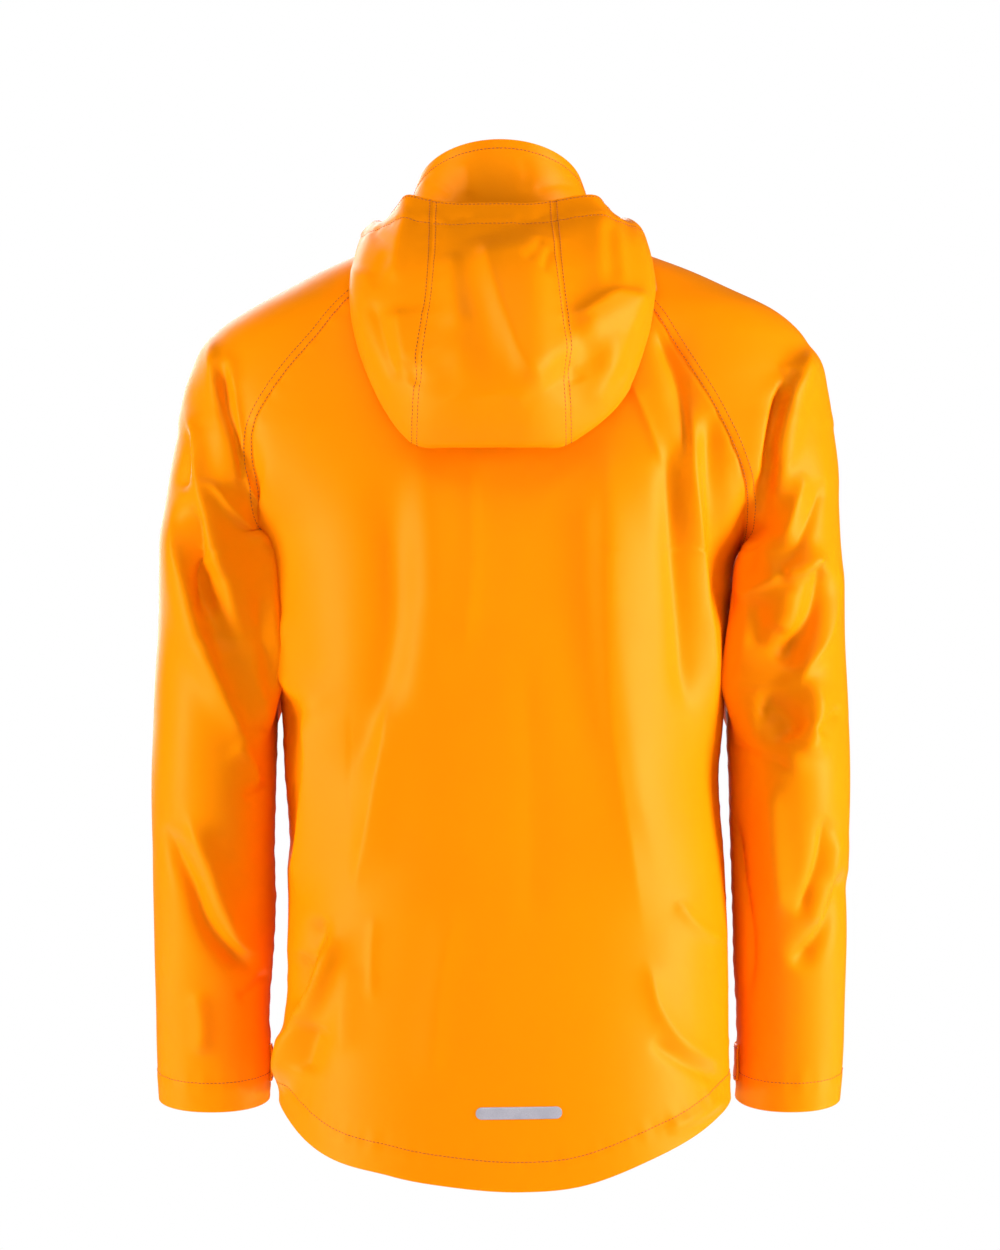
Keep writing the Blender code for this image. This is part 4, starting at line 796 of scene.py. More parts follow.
def body_grid(turn_from, turn_to, shares, neck_turns, hem_drop):
    """Points of a panel of the body between two edges that are given as turns at a level."""
    rows = BODY_ROWS[:, None]
    neck = neck_point(neck_turns)[None, :, :]
    levels = rows + neck[:, :, 2] * neck_pull(rows)
    for _ in range(LEVEL_ROUNDS):
        turns = turn_from(levels) + (turn_to(levels) - turn_from(levels)) * shares
        drop = hem_drop(body_point(turns, levels))
        levels = rows + neck[:, :, 2] * neck_pull(rows) + drop * hem_pull(rows)
    points = body_point(turns, levels)
    return points + (neck - points[:1]) * ring_pull(rows)[:, :, None]


def back_hem_drop(points):
    """How far the back's hem hangs below its side seams, read across the width at each level."""
    x = points[:, :, 0]
    at_hem = x / width_beside(x, points[:, :, 2]) * width_beside(x, HEM_SIDE)
    return curve_at(BACK_HEM, "x", "level", at_hem) - HEM_SIDE


def back_sheet():
    shares = np.linspace(0, 1, BACK_COLUMNS + 1)[None, :]
    points = body_grid(
        lambda level: back_edge_turn(LEFT, level),
        lambda level: -back_edge_turn(RIGHT, level),
        shares,
        BACK_RAGLAN_TURN * (1 - 2 * shares[0]),
        back_hem_drop,
    )
    return sheet_of(points)


def front_half(side):
    """Half of the front, from its side edge to the slit."""
    shares = np.linspace(0, 1, FRONT_COLUMNS + 1)[None, :]
    neck_turns = FRONT_RAGLAN_TURN + (SLIT_TURN - FRONT_RAGLAN_TURN) * shares[0]
    return body_grid(
        lambda level: side * front_edge_turn(level),
        lambda level: side * (180 - turn_at(ZIP_SLIT, half_width(side, level))),
        shares,
        side * neck_turns,
        lambda points: 0.0,
    )


def front_sheet():
    """One panel, with a slit for the zip down the middle of its upper part."""
    points = np.concatenate([front_half(RIGHT), front_half(LEFT)[:, ::-1]], axis=1)
    rows, columns = points.shape[:2]
    middle = columns // 2 - 1
    slit = {(row, middle) for row in range(rows - 1) if BODY_ROWS[row + 1] >= ZIP_BOTTOM}
    points[:, middle, 0] = -ZIP_SLIT
    points[:, middle + 1, 0] = ZIP_SLIT
    return sheet_of(points, skip=slit)


def sleeve_sheet(side):
    """A raglan sleeve: an arc over the shoulder that closes into a tube below the armpit."""
    rows = BODY_ROWS[:, None].copy()
    below = rows < ARMPIT
    rows[below] = ARMPIT + (rows[below] - ARMPIT) * (CUFF - ARMPIT) / (HEM_SIDE - ARMPIT)
    share = np.linspace(0, 1, SLEEVE_COLUMNS + 1)[None, :]
    neck_turns = BACK_RAGLAN_TURN + (FRONT_RAGLAN_TURN - BACK_RAGLAN_TURN) * share[0]
    neck = neck_point(side * neck_turns)[None, :, :]
    levels = rows + neck[:, :, 2] * neck_pull(rows)
    inner = curve_at(SLEEVE, "level", side_name(side) + "_in", levels)
    outer = curve_at(SLEEVE, "level", side_name(side) + "_out", levels)
    middle = curve_at(SLEEVE, "level", "middle", levels)
    sleeve_depth = curve_at(SLEEVE, "level", "depth", levels)

    back_seam = body_point(side * back_edge_turn(side, levels), levels)
    front_seam = body_point(side * front_edge_turn(levels), levels)
    width = np.where(levels > SLEEVE_WIDTH_FROM, half_width(side, levels), outer)
    arc_back = turn_at(np.abs(back_seam[:, :, 0]), width)
    arc_front = 180 - turn_at(np.abs(front_seam[:, :, 0]), width)
    arc_turn = np.radians(arc_back + (arc_front - arc_back) * share)
    arc_x = width * power(np.sin(arc_turn), 2 / OVAL)
    arc_y = depth_towards(np.cos(arc_turn), levels) * power(np.cos(arc_turn), 2 / OVAL)

    above = levels > ARMPIT + JUST_ABOVE
    back_share = np.clip(back_seam[:, :, 1] / sleeve_depth, 0, WIDEST_SEAM)
    front_share = np.clip(-front_seam[:, :, 1] / sleeve_depth, 0, WIDEST_SEAM)
    start = np.where(above, np.arcsin(back_share), 0.0)
    end = np.where(above, np.arcsin(front_share), 0.0)
    angle = start + (2 * math.pi - start - end) * share
    oval_x = (inner + outer) / 2 - (outer - inner) / 2 * power(np.cos(angle), 2 / SLEEVE_OVAL)
    oval_y = middle + sleeve_depth * power(np.sin(angle), 2 / SLEEVE_OVAL)

    tube = smoothstep((TUBE_FROM - levels) / (TUBE_FROM - ARMPIT))
    x = arc_x + (oval_x - arc_x) * tube
    y = arc_y + (oval_y - arc_y) * tube
    drop = CUFF_TILT * (y - middle) * smoothstep((CUFF + CUFF_FADE - rows) / CUFF_FADE)
    points = np.stack([side * x, y, levels - drop], axis=-1)
    snap_back = np.where(above, 1 - smoothstep(share / SLEEVE_SEAM_BLEND), 0)[:, :, None]
    snap_front = np.where(above, 1 - smoothstep((1 - share) / SLEEVE_SEAM_BLEND), 0)[:, :, None]
    points = points + (back_seam[:, :1] - points[:, :1]) * snap_back
    points = points + (front_seam[:, -1:] - points[:, -1:]) * snap_front
    points = points + (neck - points[:1]) * ring_pull(rows)[:, :, None]
    points[ARMPIT_ROW, 0] = points[ARMPIT_ROW, -1] = (side * half_width(side, ARMPIT), 0, ARMPIT)
    return sheet_of(points, flip=side > 0)


def hood_grid(stations, lanes):
    """Points of the hood: a smooth curve along each station, and smooth curves across the stations."""
    number = np.abs(stations)
    columns = {**HOOD, "station": np.arange(len(HOOD["turn"]), dtype=float)}
    side = np.where(stations < 0, RIGHT, LEFT)
    share = np.where(side < 0, curve_at(columns, "station", "right_share", number), 1.0)
    turn = curve_at(columns, "station", "turn", number)
    ring = neck_point(side * np.maximum(turn, LEAST_TURN))
    away = unit(ring[:, :2])
    knots = [ring + np.concatenate([HOOD_SEAM_OUT * away, np.full((len(turn), 1), HOOD_SEAM_UP)], axis=1)]
    for name in ("under", "fold", "belly", "slope", "edge"):
        x, y, z = (curve_at(columns, "station", name + axis, number) for axis in ("_x", "_y", "_z"))
        knots.append(np.stack([side * share * x, y, z], axis=-1))
    knots = np.array(knots)
    gaps = np.linalg.norm(np.diff(knots, axis=0), axis=2) ** 0.5
    distance = np.concatenate([np.zeros((1, len(turn))), np.cumsum(gaps, axis=0)])
    points = np.empty((len(lanes), len(turn), 3))
    for column in range(len(turn)):
        along = distance[:, column] / distance[-1, column]
        for axis in range(3):
            path = {"along": along, "value": knots[:, column, axis]}
            points[:, column, axis] = curve_at(path, "along", "value", lanes)
    clearance = HOOD_CLEARANCE * smoothstep(lanes / HOOD_CLEAR_FROM)
    least = np.repeat(clearance[1:], len(turn))
    points[1:] = clear_of_body(points[1:].reshape(-1, 3), least).reshape(points[1:].shape)
    return points


def hood_sheets():
    last = len(HOOD["turn"]) - 1
    seam = HOOD_SEAM_STATION
    lanes = np.linspace(0, 1, HOOD_LANES + 1)
    spans = {
        "hood_left": (last, seam, HOOD_SIDE_COLUMNS),
        "hood_centre": (seam, -seam, HOOD_CENTRE_COLUMNS),
        "hood_right": (-seam, -last, HOOD_SIDE_COLUMNS),
    }
    return {
        name: sheet_of(hood_grid(np.linspace(start, end, count + 1), lanes), flip=True)
        for name, (start, end, count) in spans.items()
    }


def collar_sheet():
    """The stand collar, from one side of the zip round the back to the other."""
    turns = np.linspace(SLIT_TURN, -SLIT_TURN, COLLAR_COLUMNS + 1)[None, :]
    heights = np.linspace(0, 1, COLLAR_ROWS + 1)[::-1][:, None]
    sine = np.sin(np.radians(turns))
    cosine = np.cos(np.radians(turns))
    top_y = np.where(cosine > 0, COLLAR_BACK, COLLAR_FRONT) * cosine
    top = np.stack([COLLAR_HALF_WIDTH * sine, top_y, COLLAR_SIDE_TOP + COLLAR_TILT * top_y], axis=-1)
    bottom = neck_point(turns) + np.array([0, 0, COLLAR_LIFT])
    points = bottom + (top - bottom) * heights[:, :, None]
    bow = COLLAR_BOW * np.sin(math.pi * heights)
    points[:, :, 0] += bow * sine
    points[:, :, 1] += bow * cosine
    points[:, 0, 0] = ZIP_SLIT
    points[:, -1, 0] = -ZIP_SLIT
    return sheet_of(points)


def nearest_on(line, points):
    """How far each point is from a line, and how far along the line the nearest place is."""
    before = running_length(line)
    along = np.linspace(0, before[-1], max(2, int(before[-1]) + 1))
    tree = KDTree(len(along))
    for number, place in enumerate(read_line(along, before, line)):
        tree.insert(place, number)
    tree.balance()
    found = [tree.find(point) for point in points]
    distance = np.array([hit[2] for hit in found])
    return distance, along[np.array([hit[1] for hit in found])]


def pucker(along, seed):
    """Uneven small waves along a seam, 15 to 40 mm long."""
    return (
        np.sin(along / 2.3 + seed)
        + 0.8 * np.sin(along / 3.7 + 2.1 * seed)
        + 0.7 * np.sin(along / 6.1 + 0.7 * seed) * np.sin(along / 17.0 + seed)
    )


def seam_relief(distance, along, fold_width, fold_height, pucker_height, seed, depth=SEAM_GROOVE):
    """A seam's groove, the folded allowance beside it, and the puckers that its stitches pull."""
    groove = -depth * bell(distance, SEAM_SPREAD)
    fold_end = 1 - smoothstep((distance - fold_width) / SEAM_EDGE)
    band = fold_height * smoothstep(distance / SEAM_EDGE) * fold_end
    waves = pucker_height * pucker(along, seed) * bell(distance, PUCKER_REACH)
    return groove + band + waves


def hem_relief(distance, along, width, seed):
    """A turned-up hem: double cloth up to its stitching, a dent at the stitches and puckers beside them."""
    beside = distance - width
    double = HEM_DOUBLE * (1 - smoothstep((beside - HEM_PAST) / SEAM_EDGE))
    dent = -HEM_DENT * bell(beside, HEM_DENT_SPREAD)
    waves = HEM_PUCKER * pucker(along, seed + 3) * bell(beside, HEM_PUCKER_REACH)
    return double + dent + waves


def drape(points):
    """The slow unevenness that hanging cloth has everywhere, mostly in upright waves."""
    x, y, z = points.T
    turn = np.degrees(np.arctan2(x, y))
    upright = np.sin(turn / 9.5 + 0.9 * np.sin(z / 150) + 0.4) * (0.55 + 0.45 * np.sin(z / 95 + turn / 40))
    slanted = np.sin(turn / 17 + z / 62 + 1.3) + 0.6 * np.sin(turn / 11 - z / 41 + 0.5)
    return DRAPE_UPRIGHT * upright + DRAPE_SLANTED * slanted


def face_normals(points, faces):
    """Normals as long as each face is large."""
    corners = points[faces]
    return np.cross(corners[:, 2] - corners[:, 0], corners[:, 3] - corners[:, 1]) / 2


def shared_normals(sheets, fixed=()):
    """Unit normals for each sheet's points, the same where two sheets meet."""
    everything = np.concatenate([sheet.points for sheet in sheets.values()])
    _, spot = np.unique(np.round(everything, SAME_PLACE), axis=0, return_inverse=True)
    spot = spot.reshape(-1)
    own = dict(zip(sheets, np.split(spot, np.cumsum([len(sheet.points) for sheet in sheets.values()]))))
    total = np.zeros((spot.max() + 1, 3))
    for name, sheet in sheets.items():
        normals = face_normals(sheet.points, sheet.faces)
        for corner in range(4):
            np.add.at(total, own[name][sheet.faces[:, corner]], normals)
    for place, normal in fixed:
        near = np.argmin(np.linalg.norm(everything - np.array(place), axis=1))
        total[spot[near]] = normal
    total = unit(total)
    return {name: total[own[name]] for name in sheets}


def fold_heights(points, normals, creases):
    """How far each point is lifted along its normal by the folds."""
    away = VIEW_DISTANCE / (VIEW_DISTANCE - points[:, 1])
    seen = np.stack([points[:, 0] * away, VIEW_LEVEL + (points[:, 2] - VIEW_LEVEL) * away], axis=-1)
    lift = np.zeros(len(points))
    for fold in creases:
        route = smooth_route(fold.route)
        reach = FOLD_REACH * max(fold.spread_left, fold.spread_right)
        near = np.flatnonzero(
            ((seen > route.min(axis=0) - reach) & (seen < route.max(axis=0) + reach)).all(axis=1)
            & (fold.face * normals[:, 1] > -FOLD_ROUND)
        )
        if len(near) == 0:
            continue
        places = seen[near]
        before = running_length(route)
        nearest = np.full(len(near), np.inf)
        along = np.zeros(len(near))
        across = np.zeros(len(near))
        for number, length in enumerate(np.linalg.norm(np.diff(route, axis=0), axis=1)):
            step = (route[number + 1] - route[number]) / length
            offset = places - route[number]
            share = np.clip(offset @ step, 0, length)
            distance = np.linalg.norm(offset - share[:, None] * step, axis=1)
            closer = distance < nearest
            nearest = np.where(closer, distance, nearest)
            along = np.where(closer, before[number] + share, along)
            across = np.where(closer, offset[:, 0] * step[1] - offset[:, 1] * step[0], across)
        along /= before[-1]
        spread = np.where(across < 0, fold.spread_left, fold.spread_right)
        ends = smoothstep(np.minimum(along, 1 - along) / FOLD_TAPER + FOLD_END)
        faces_it = smoothstep((fold.face * normals[near, 1] + FOLD_ROUND) / FOLD_TURN)
        lift[near] += fold.height * np.exp(-((nearest / spread) ** fold.crisp)) * ends * faces_it
    return lift


def raised(sheets, heights, fixed=()):
    """The sheets moved out by the heights that a function of name, sheet and normals gives."""
    normals = shared_normals(sheets, fixed)
    result = {}
    for name, sheet in sheets.items():
        lift = heights(name, sheet, normals[name])
        result[name] = sheet._replace(points=sheet.points + normals[name] * lift[:, None])
    return result


def folded(sheets, creases, fixed=()):
    return raised(sheets, lambda name, sheet, normals: fold_heights(sheet.points, normals, creases), fixed)


def pressed(sheet, normals, side):
    """A sleeve whose inner side lies softly against the body, behind and in front of its widest line."""
    x, y, z = sheet.points.T
    wide = half_width(side, z) - PRESS_INSIDE
    inward = smoothstep((-side * normals[:, 0] - PRESS_FACING) / PRESS_TURN)
    beside = bell(np.abs(y) - PRESS_OUT, PRESS_SPREAD)
    high = smoothstep((z - PRESS_FOOT) / PRESS_FOOT_FADE) * smoothstep((PRESS_HEAD - z) / PRESS_HEAD_FADE)
    push = np.maximum(side * x - wide, 0) * inward * beside * high
    return sheet._replace(points=sheet.points - np.stack([side * push, 0 * y, 0 * z], axis=-1))


def grid_lengths(sheet):
    """Distances along the rows and down the columns, for the sheet's own UV map."""
    grid = grid_of(sheet)
    across = np.zeros(sheet.shape)
    across[:, 1:] = np.cumsum(np.linalg.norm(np.diff(grid, axis=1), axis=2), axis=1)
    down = np.zeros(sheet.shape)
    down[1:] = np.cumsum(np.linalg.norm(np.diff(grid, axis=0), axis=2), axis=0)
    return np.stack([across.reshape(-1), -down.reshape(-1)], axis=-1)


def new_object(name, data):
    made = bpy.data.objects.new(name, data)
    bpy.context.scene.collection.objects.link(made)
    return made


def new_mesh(name, points, faces, skins, corner_lengths=None):
    """A mesh from points in millimetres, with a UV map where lengths are given for its faces' corners."""
    mesh = bpy.data.meshes.new(name)
    mesh.from_pydata((points * MM).tolist(), [], faces)
    if corner_lengths is not None:
        layer = mesh.uv_layers.new(name="cloth")
        layer.data.foreach_set("uv", (corner_lengths * MM).reshape(-1).astype(np.float32))
    for skin in skins:
        mesh.materials.append(skin)
    return mesh


def walled(name, mesh, thickness):
    """A smooth piece with a wall that goes inwards from its face."""
    mesh.shade_smooth()
    piece = new_object(name, mesh)
    wall = piece.modifiers.new("wall", "SOLIDIFY")
    wall.thickness = thickness * MM
    wall.offset = -1
    return piece, wall


def cloth_piece(name, sheet, outside, inside):
    """A thin closed shell on a sheet: its outer face, then a wall inwards with a rim."""
    _, first, spot = np.unique(
        np.round(sheet.points, SAME_PLACE), axis=0, return_index=True, return_inverse=True
    )
    faces = spot.reshape(-1)[sheet.faces].tolist()
    corner_lengths = grid_lengths(sheet)[sheet.faces.reshape(-1)]
    mesh = new_mesh(name, sheet.points[first], faces, (outside, inside), corner_lengths)
    piece, wall = walled(name, mesh, CLOTH)
    wall.material_offset = 1
    wall.material_offset_rim = 0
    # its cut edges stay crisp, so that the light doesn't roll off beside a seam
    used = np.empty(len(mesh.loops), np.int32)
    mesh.loops.foreach_get("edge_index", used)
    cut = np.bincount(used, minlength=len(mesh.edges)) == 1
    mesh.attributes.new("sharp_edge", "BOOLEAN", "EDGE").data.foreach_set("value", cut)
    return piece


def thin_piece(name, grid, skin, thickness, flip=False, lengths=None):
    """A small closed piece on a grid of points."""
    sheet = sheet_of(grid, flip)
    corner_lengths = None if lengths is None else lengths[sheet.faces.reshape(-1)]
    mesh = new_mesh(name, sheet.points, sheet.faces.tolist(), (skin,), corner_lengths)
    return walled(name, mesh, thickness)[0]


def contour(sheet, normals, field, value, by_row=True, from_end=False):
    """Where a field over the sheet first reaches a value, row by row or column by column."""
    layers = [grid_of(sheet), normals.reshape(*sheet.shape, 3), field.reshape(*sheet.shape, 1)]
    if not by_row:
        layers = [layer.transpose(1, 0, 2) for layer in layers]
    if from_end:
        layers = [layer[:, ::-1] for layer in layers]
    points = []
    directions = []
    for line, way, values in zip(*layers):
        values = values[:, 0]
        past = np.flatnonzero((values[:-1] < value) & (values[1:] >= value))
        if len(past) == 0:
            continue
        at = past[0]
        share = (value - values[at]) / (values[at + 1] - values[at])
        points.append(line[at] * (1 - share) + line[at + 1] * share)
        directions.append(way[at] * (1 - share) + way[at + 1] * share)
    return np.array(points), np.array(directions)


def stitching(name, runs, thread):
    """Stitches along runs of (points, normals), short threads that dip into the cloth at their ends."""
    turn = np.arange(STITCH_SIDES) / STITCH_SIDES * 2 * math.pi
    template = np.array(
        [(u, r * math.cos(t), r * math.sin(t) + lift) for u, r, lift in STITCH_RINGS for t in turn]
    )
    last = (len(STITCH_RINGS) - 1) * STITCH_SIDES
    sides = []
    for ring in range(0, last, STITCH_SIDES):
        for corner in range(STITCH_SIDES):
            a = ring + corner
            b = ring + (corner + 1) % STITCH_SIDES
            sides.append((a, b, b + STITCH_SIDES, a + STITCH_SIDES))
    caps = [range(STITCH_SIDES)[::-1], range(last, last + STITCH_SIDES)]
    u, sideways, out = template.T[:, None, :, None]
    half = STITCH_PITCH * STITCH_SHARE / 2
    stitches = []
    for points, normals in runs:
        if len(points) < 3:
            continue
        before = running_length(points)
        places = np.arange(STITCH_PITCH / 2, before[-1], STITCH_PITCH)
        along = unit(read_line(places + 1, before, points) - read_line(places - 1, before, points))
        up = read_line(places, before, normals)
        up = unit(up - along * (up * along).sum(axis=1)[:, None])
        beside = np.cross(up, along)
        centre = read_line(places, before, points)
        centre, along, beside, up = (vectors[:, None] for vectors in (centre, along, beside, up))
        stitch = centre + along * u * half + beside * sideways * THREAD_RADIUS + up * out * THREAD_RADIUS
        stitches.append(stitch.reshape(-1, 3))
    points = np.concatenate(stitches)
    starts = np.arange(0, len(points), len(template))[:, None, None]
    faces = (np.array(sides) + starts).reshape(-1, 4).tolist()
    faces += (np.array(caps) + starts).reshape(-1, STITCH_SIDES).tolist()
    mesh = new_mesh(name, points, faces, (thread,))
    mesh.shade_smooth()
    return finished(new_object(name, mesh))


def finished(piece, node=None):
    """A piece of the garment: it rides on it and, where a node is named, stands for that solid."""
    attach(piece, "garment")
    if node:
        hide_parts(node)
    return piece


def colour(text):
    """An sRGB hex colour as a linear one."""
    parts = [int(text[i : i + 2], 16) / 255 for i in (1, 3, 5)]
    return (*[c / 12.92 if c <= 0.04045 else ((c + 0.055) / 1.055) ** 2.4 for c in parts], 1.0)


def connect(tree, node, inputs):
    """Gives a node's inputs their values, or links them to the output sockets that are given."""
    for name, value in inputs.items():
        if isinstance(value, bpy.types.NodeSocket):
            tree.links.new(value, node.inputs[name])
        else:
            node.inputs[name].default_value = value


def add(tree, kind, inputs=None, **settings):
    """Adds a node with its settings, values and links."""
    made = tree.nodes.new(kind)
    for name, value in settings.items():
        setattr(made, name, value)
    connect(tree, made, inputs or {})
    return made


def new_material(name):
    made = bpy.data.materials.new(name)
    made.use_nodes = True
    return made, made.node_tree, made.node_tree.nodes["Principled BSDF"]


def fineness(size):
    """The scale of a pattern whose features are this many millimetres wide."""
    return 1 / (size * MM)


def coated_knit():
    """Polyurethane-coated polyester knit: a smooth satin face over a fine knit that just shows through."""
    made, tree, shader = new_material("pu_coated_knit_orange")
    place = add(tree, "ShaderNodeTexCoord").outputs["Object"]
    patches = add(tree, "ShaderNodeTexNoise", {"Vector": place, "Scale": fineness(55), "Detail": 3.0})
    tone = add(
        tree,
        "ShaderNodeMix",
        {"Factor": patches.outputs["Fac"], "A": colour("#FA8B00"), "B": colour("#F68600")},
        data_type="RGBA",
    )
    gloss = add(
        tree,
        "ShaderNodeMapRange",
        {"Value": patches.outputs["Fac"], "To Min": 0.4, "To Max": 0.48},
    )
    grain = add(tree, "ShaderNodeTexNoise", {"Vector": place, "Scale": fineness(1.6), "Detail": 2.0})
    handling = add(tree, "ShaderNodeTexNoise", {"Vector": place, "Scale": fineness(22), "Detail": 4.0})
    fine = add(
        tree,
        "ShaderNodeBump",
        {"Height": grain.outputs["Fac"], "Strength": 0.35, "Distance": 0.06 * MM},
    )
    soft = add(
        tree,
        "ShaderNodeBump",
        {
            "Height": handling.outputs["Fac"],
            "Strength": 0.5,
            "Distance": 0.6 * MM,
            "Normal": fine.outputs["Normal"],
        },
    )
    look = {
        "Base Color": tone.outputs[MIX_COLOUR],
        "Roughness": gloss.outputs["Result"],
        "Specular IOR Level": 0.22,
        "Specular Tint": colour("#FFB860"),
        "Normal": soft.outputs["Normal"],
    }
    connect(tree, shader, look)
    return made


def knit_backing():
    """The uncoated inner face: a matt tricot knit with fine upright wales."""
    made, tree, shader = new_material("polyester_tricot_backing")
    lengths = add(tree, "ShaderNodeUVMap", uv_map="cloth").outputs["UV"]
    wales = add(
        tree,
        "ShaderNodeTexWave",
        {"Vector": lengths, "Scale": fineness(2.2) / PATTERN_TURN, "Distortion": 0.6, "Detail": 2.0},
        bands_direction="X",
    )
    tone = add(
        tree,
        "ShaderNodeMix",
        {"Factor": wales.outputs["Fac"], "A": colour("#C25E05"), "B": colour("#DE7410")},
        data_type="RGBA",
    )
    relief = add(
        tree,
        "ShaderNodeBump",
        {"Height": wales.outputs["Fac"], "Strength": 0.4, "Distance": 0.3 * MM},
    )
    look = {
        "Base Color": tone.outputs[MIX_COLOUR],
        "Roughness": 0.85,
        "Normal": relief.outputs["Normal"],
    }
    connect(tree, shader, look)
    return made


def sewing_thread():
    """Spun polyester thread, a shade deeper than the cloth and without its sheen."""
    made, tree, shader = new_material("polyester_thread_orange")
    place = add(tree, "ShaderNodeTexCoord").outputs["Object"]
    twist = add(tree, "ShaderNodeTexNoise", {"Vector": place, "Scale": fineness(0.9)})
    tone = add(
        tree,
        "ShaderNodeMix",
        {"Factor": twist.outputs["Fac"], "A": colour("#A04A00"), "B": colour("#C05C00")},
        data_type="RGBA",
    )
    connect(tree, shader, {"Base Color": tone.outputs[MIX_COLOUR], "Roughness": 0.6})
    return made


def reflective_film():
    """Glass-bead transfer film: silver-grey, with the grain of its beads drawn coarse enough to show."""
    made, tree, shader = new_material("glass_bead_transfer_film")
    place = add(tree, "ShaderNodeTexCoord").outputs["Object"]
    beads = add(tree, "ShaderNodeTexNoise", {"Vector": place, "Scale": fineness(0.9), "Detail": 2.0})
    clouds = add(tree, "ShaderNodeTexNoise", {"Vector": place, "Scale": fineness(14), "Detail": 1.0})
    both = add(
        tree,
        "ShaderNodeMath",
        {0: beads.outputs["Fac"], 1: clouds.outputs["Fac"]},
        operation="MULTIPLY",
    )
    tone = add(
        tree,
        "ShaderNodeMix",
        {"Factor": both.outputs["Value"], "A": colour("#A3A0AC"), "B": colour("#DAD7DF")},
        data_type="RGBA",
    )
    relief = add(
        tree,
        "ShaderNodeBump",
        {"Height": beads.outputs["Fac"], "Strength": 0.3, "Distance": 0.08 * MM},
    )
    look = {
        "Base Color": tone.outputs[MIX_COLOUR],
        "Metallic": 0.35,
        "Roughness": 0.42,
        "Normal": relief.outputs["Normal"],
    }
    connect(tree, shader, look)
    return made


def woven_tape():
    """Woven polyester zip tape: matt, with a fine herringbone that shows up close."""
    made, tree, shader = new_material("woven_polyester_tape")
    lengths = add(tree, "ShaderNodeUVMap", uv_map="cloth").outputs["UV"]
    ribs = add(
        tree,
        "ShaderNodeTexWave",
        {"Vector": lengths, "Scale": fineness(1.4) / PATTERN_TURN, "Distortion": 0.3},
        bands_direction="DIAGONAL",
    )
    tone = add(
        tree,
        "ShaderNodeMix",
        {"Factor": ribs.outputs["Fac"], "A": colour("#C96600"), "B": colour("#EC8410")},
        data_type="RGBA",
    )
    relief = add(
        tree,
        "ShaderNodeBump",
        {"Height": ribs.outputs["Fac"], "Strength": 0.5, "Distance": 0.2 * MM},
    )
    look = {
        "Base Color": tone.outputs[MIX_COLOUR],
        "Roughness": 0.8,
        "Normal": relief.outputs["Normal"],
    }
    connect(tree, shader, look)
    return made


def moulded_acetal():
    """Injection-moulded acetal: smooth, a little waxy, coloured through."""
    made, tree, shader = new_material("moulded_acetal_orange")
    place = add(tree, "ShaderNodeTexCoord").outputs["Object"]
    flow = add(tree, "ShaderNodeTexNoise", {"Vector": place, "Scale": fineness(4)})
    tone = add(
        tree,
        "ShaderNodeMix",
        {"Factor": flow.outputs["Fac"], "A": colour("#F27E00"), "B": colour("#FF8E0A")},
        data_type="RGBA",
    )
    connect(tree, shader, {"Base Color": tone.outputs[MIX_COLOUR], "Roughness": 0.38})
    return made


def painted_zinc():
    """Die-cast zinc under orange stove enamel, with the slight orange peel of sprayed paint."""
    made, tree, shader = new_material("enamelled_zinc_orange")
    place = add(tree, "ShaderNodeTexCoord").outputs["Object"]
    peel = add(tree, "ShaderNodeTexNoise", {"Vector": place, "Scale": fineness(1.2)})
    tone = add(
        tree,
        "ShaderNodeMix",
        {"Factor": peel.outputs["Fac"], "A": colour("#F07800"), "B": colour("#F88608")},
        data_type="RGBA",
    )
    relief = add(
        tree,
        "ShaderNodeBump",
        {"Height": peel.outputs["Fac"], "Strength": 0.2, "Distance": 0.1 * MM},
    )
    look = {
        "Base Color": tone.outputs[MIX_COLOUR],
        "Roughness": 0.25,
        "Coat Weight": 0.4,
        "Normal": relief.outputs["Normal"],
    }
    connect(tree, shader, look)
    return made


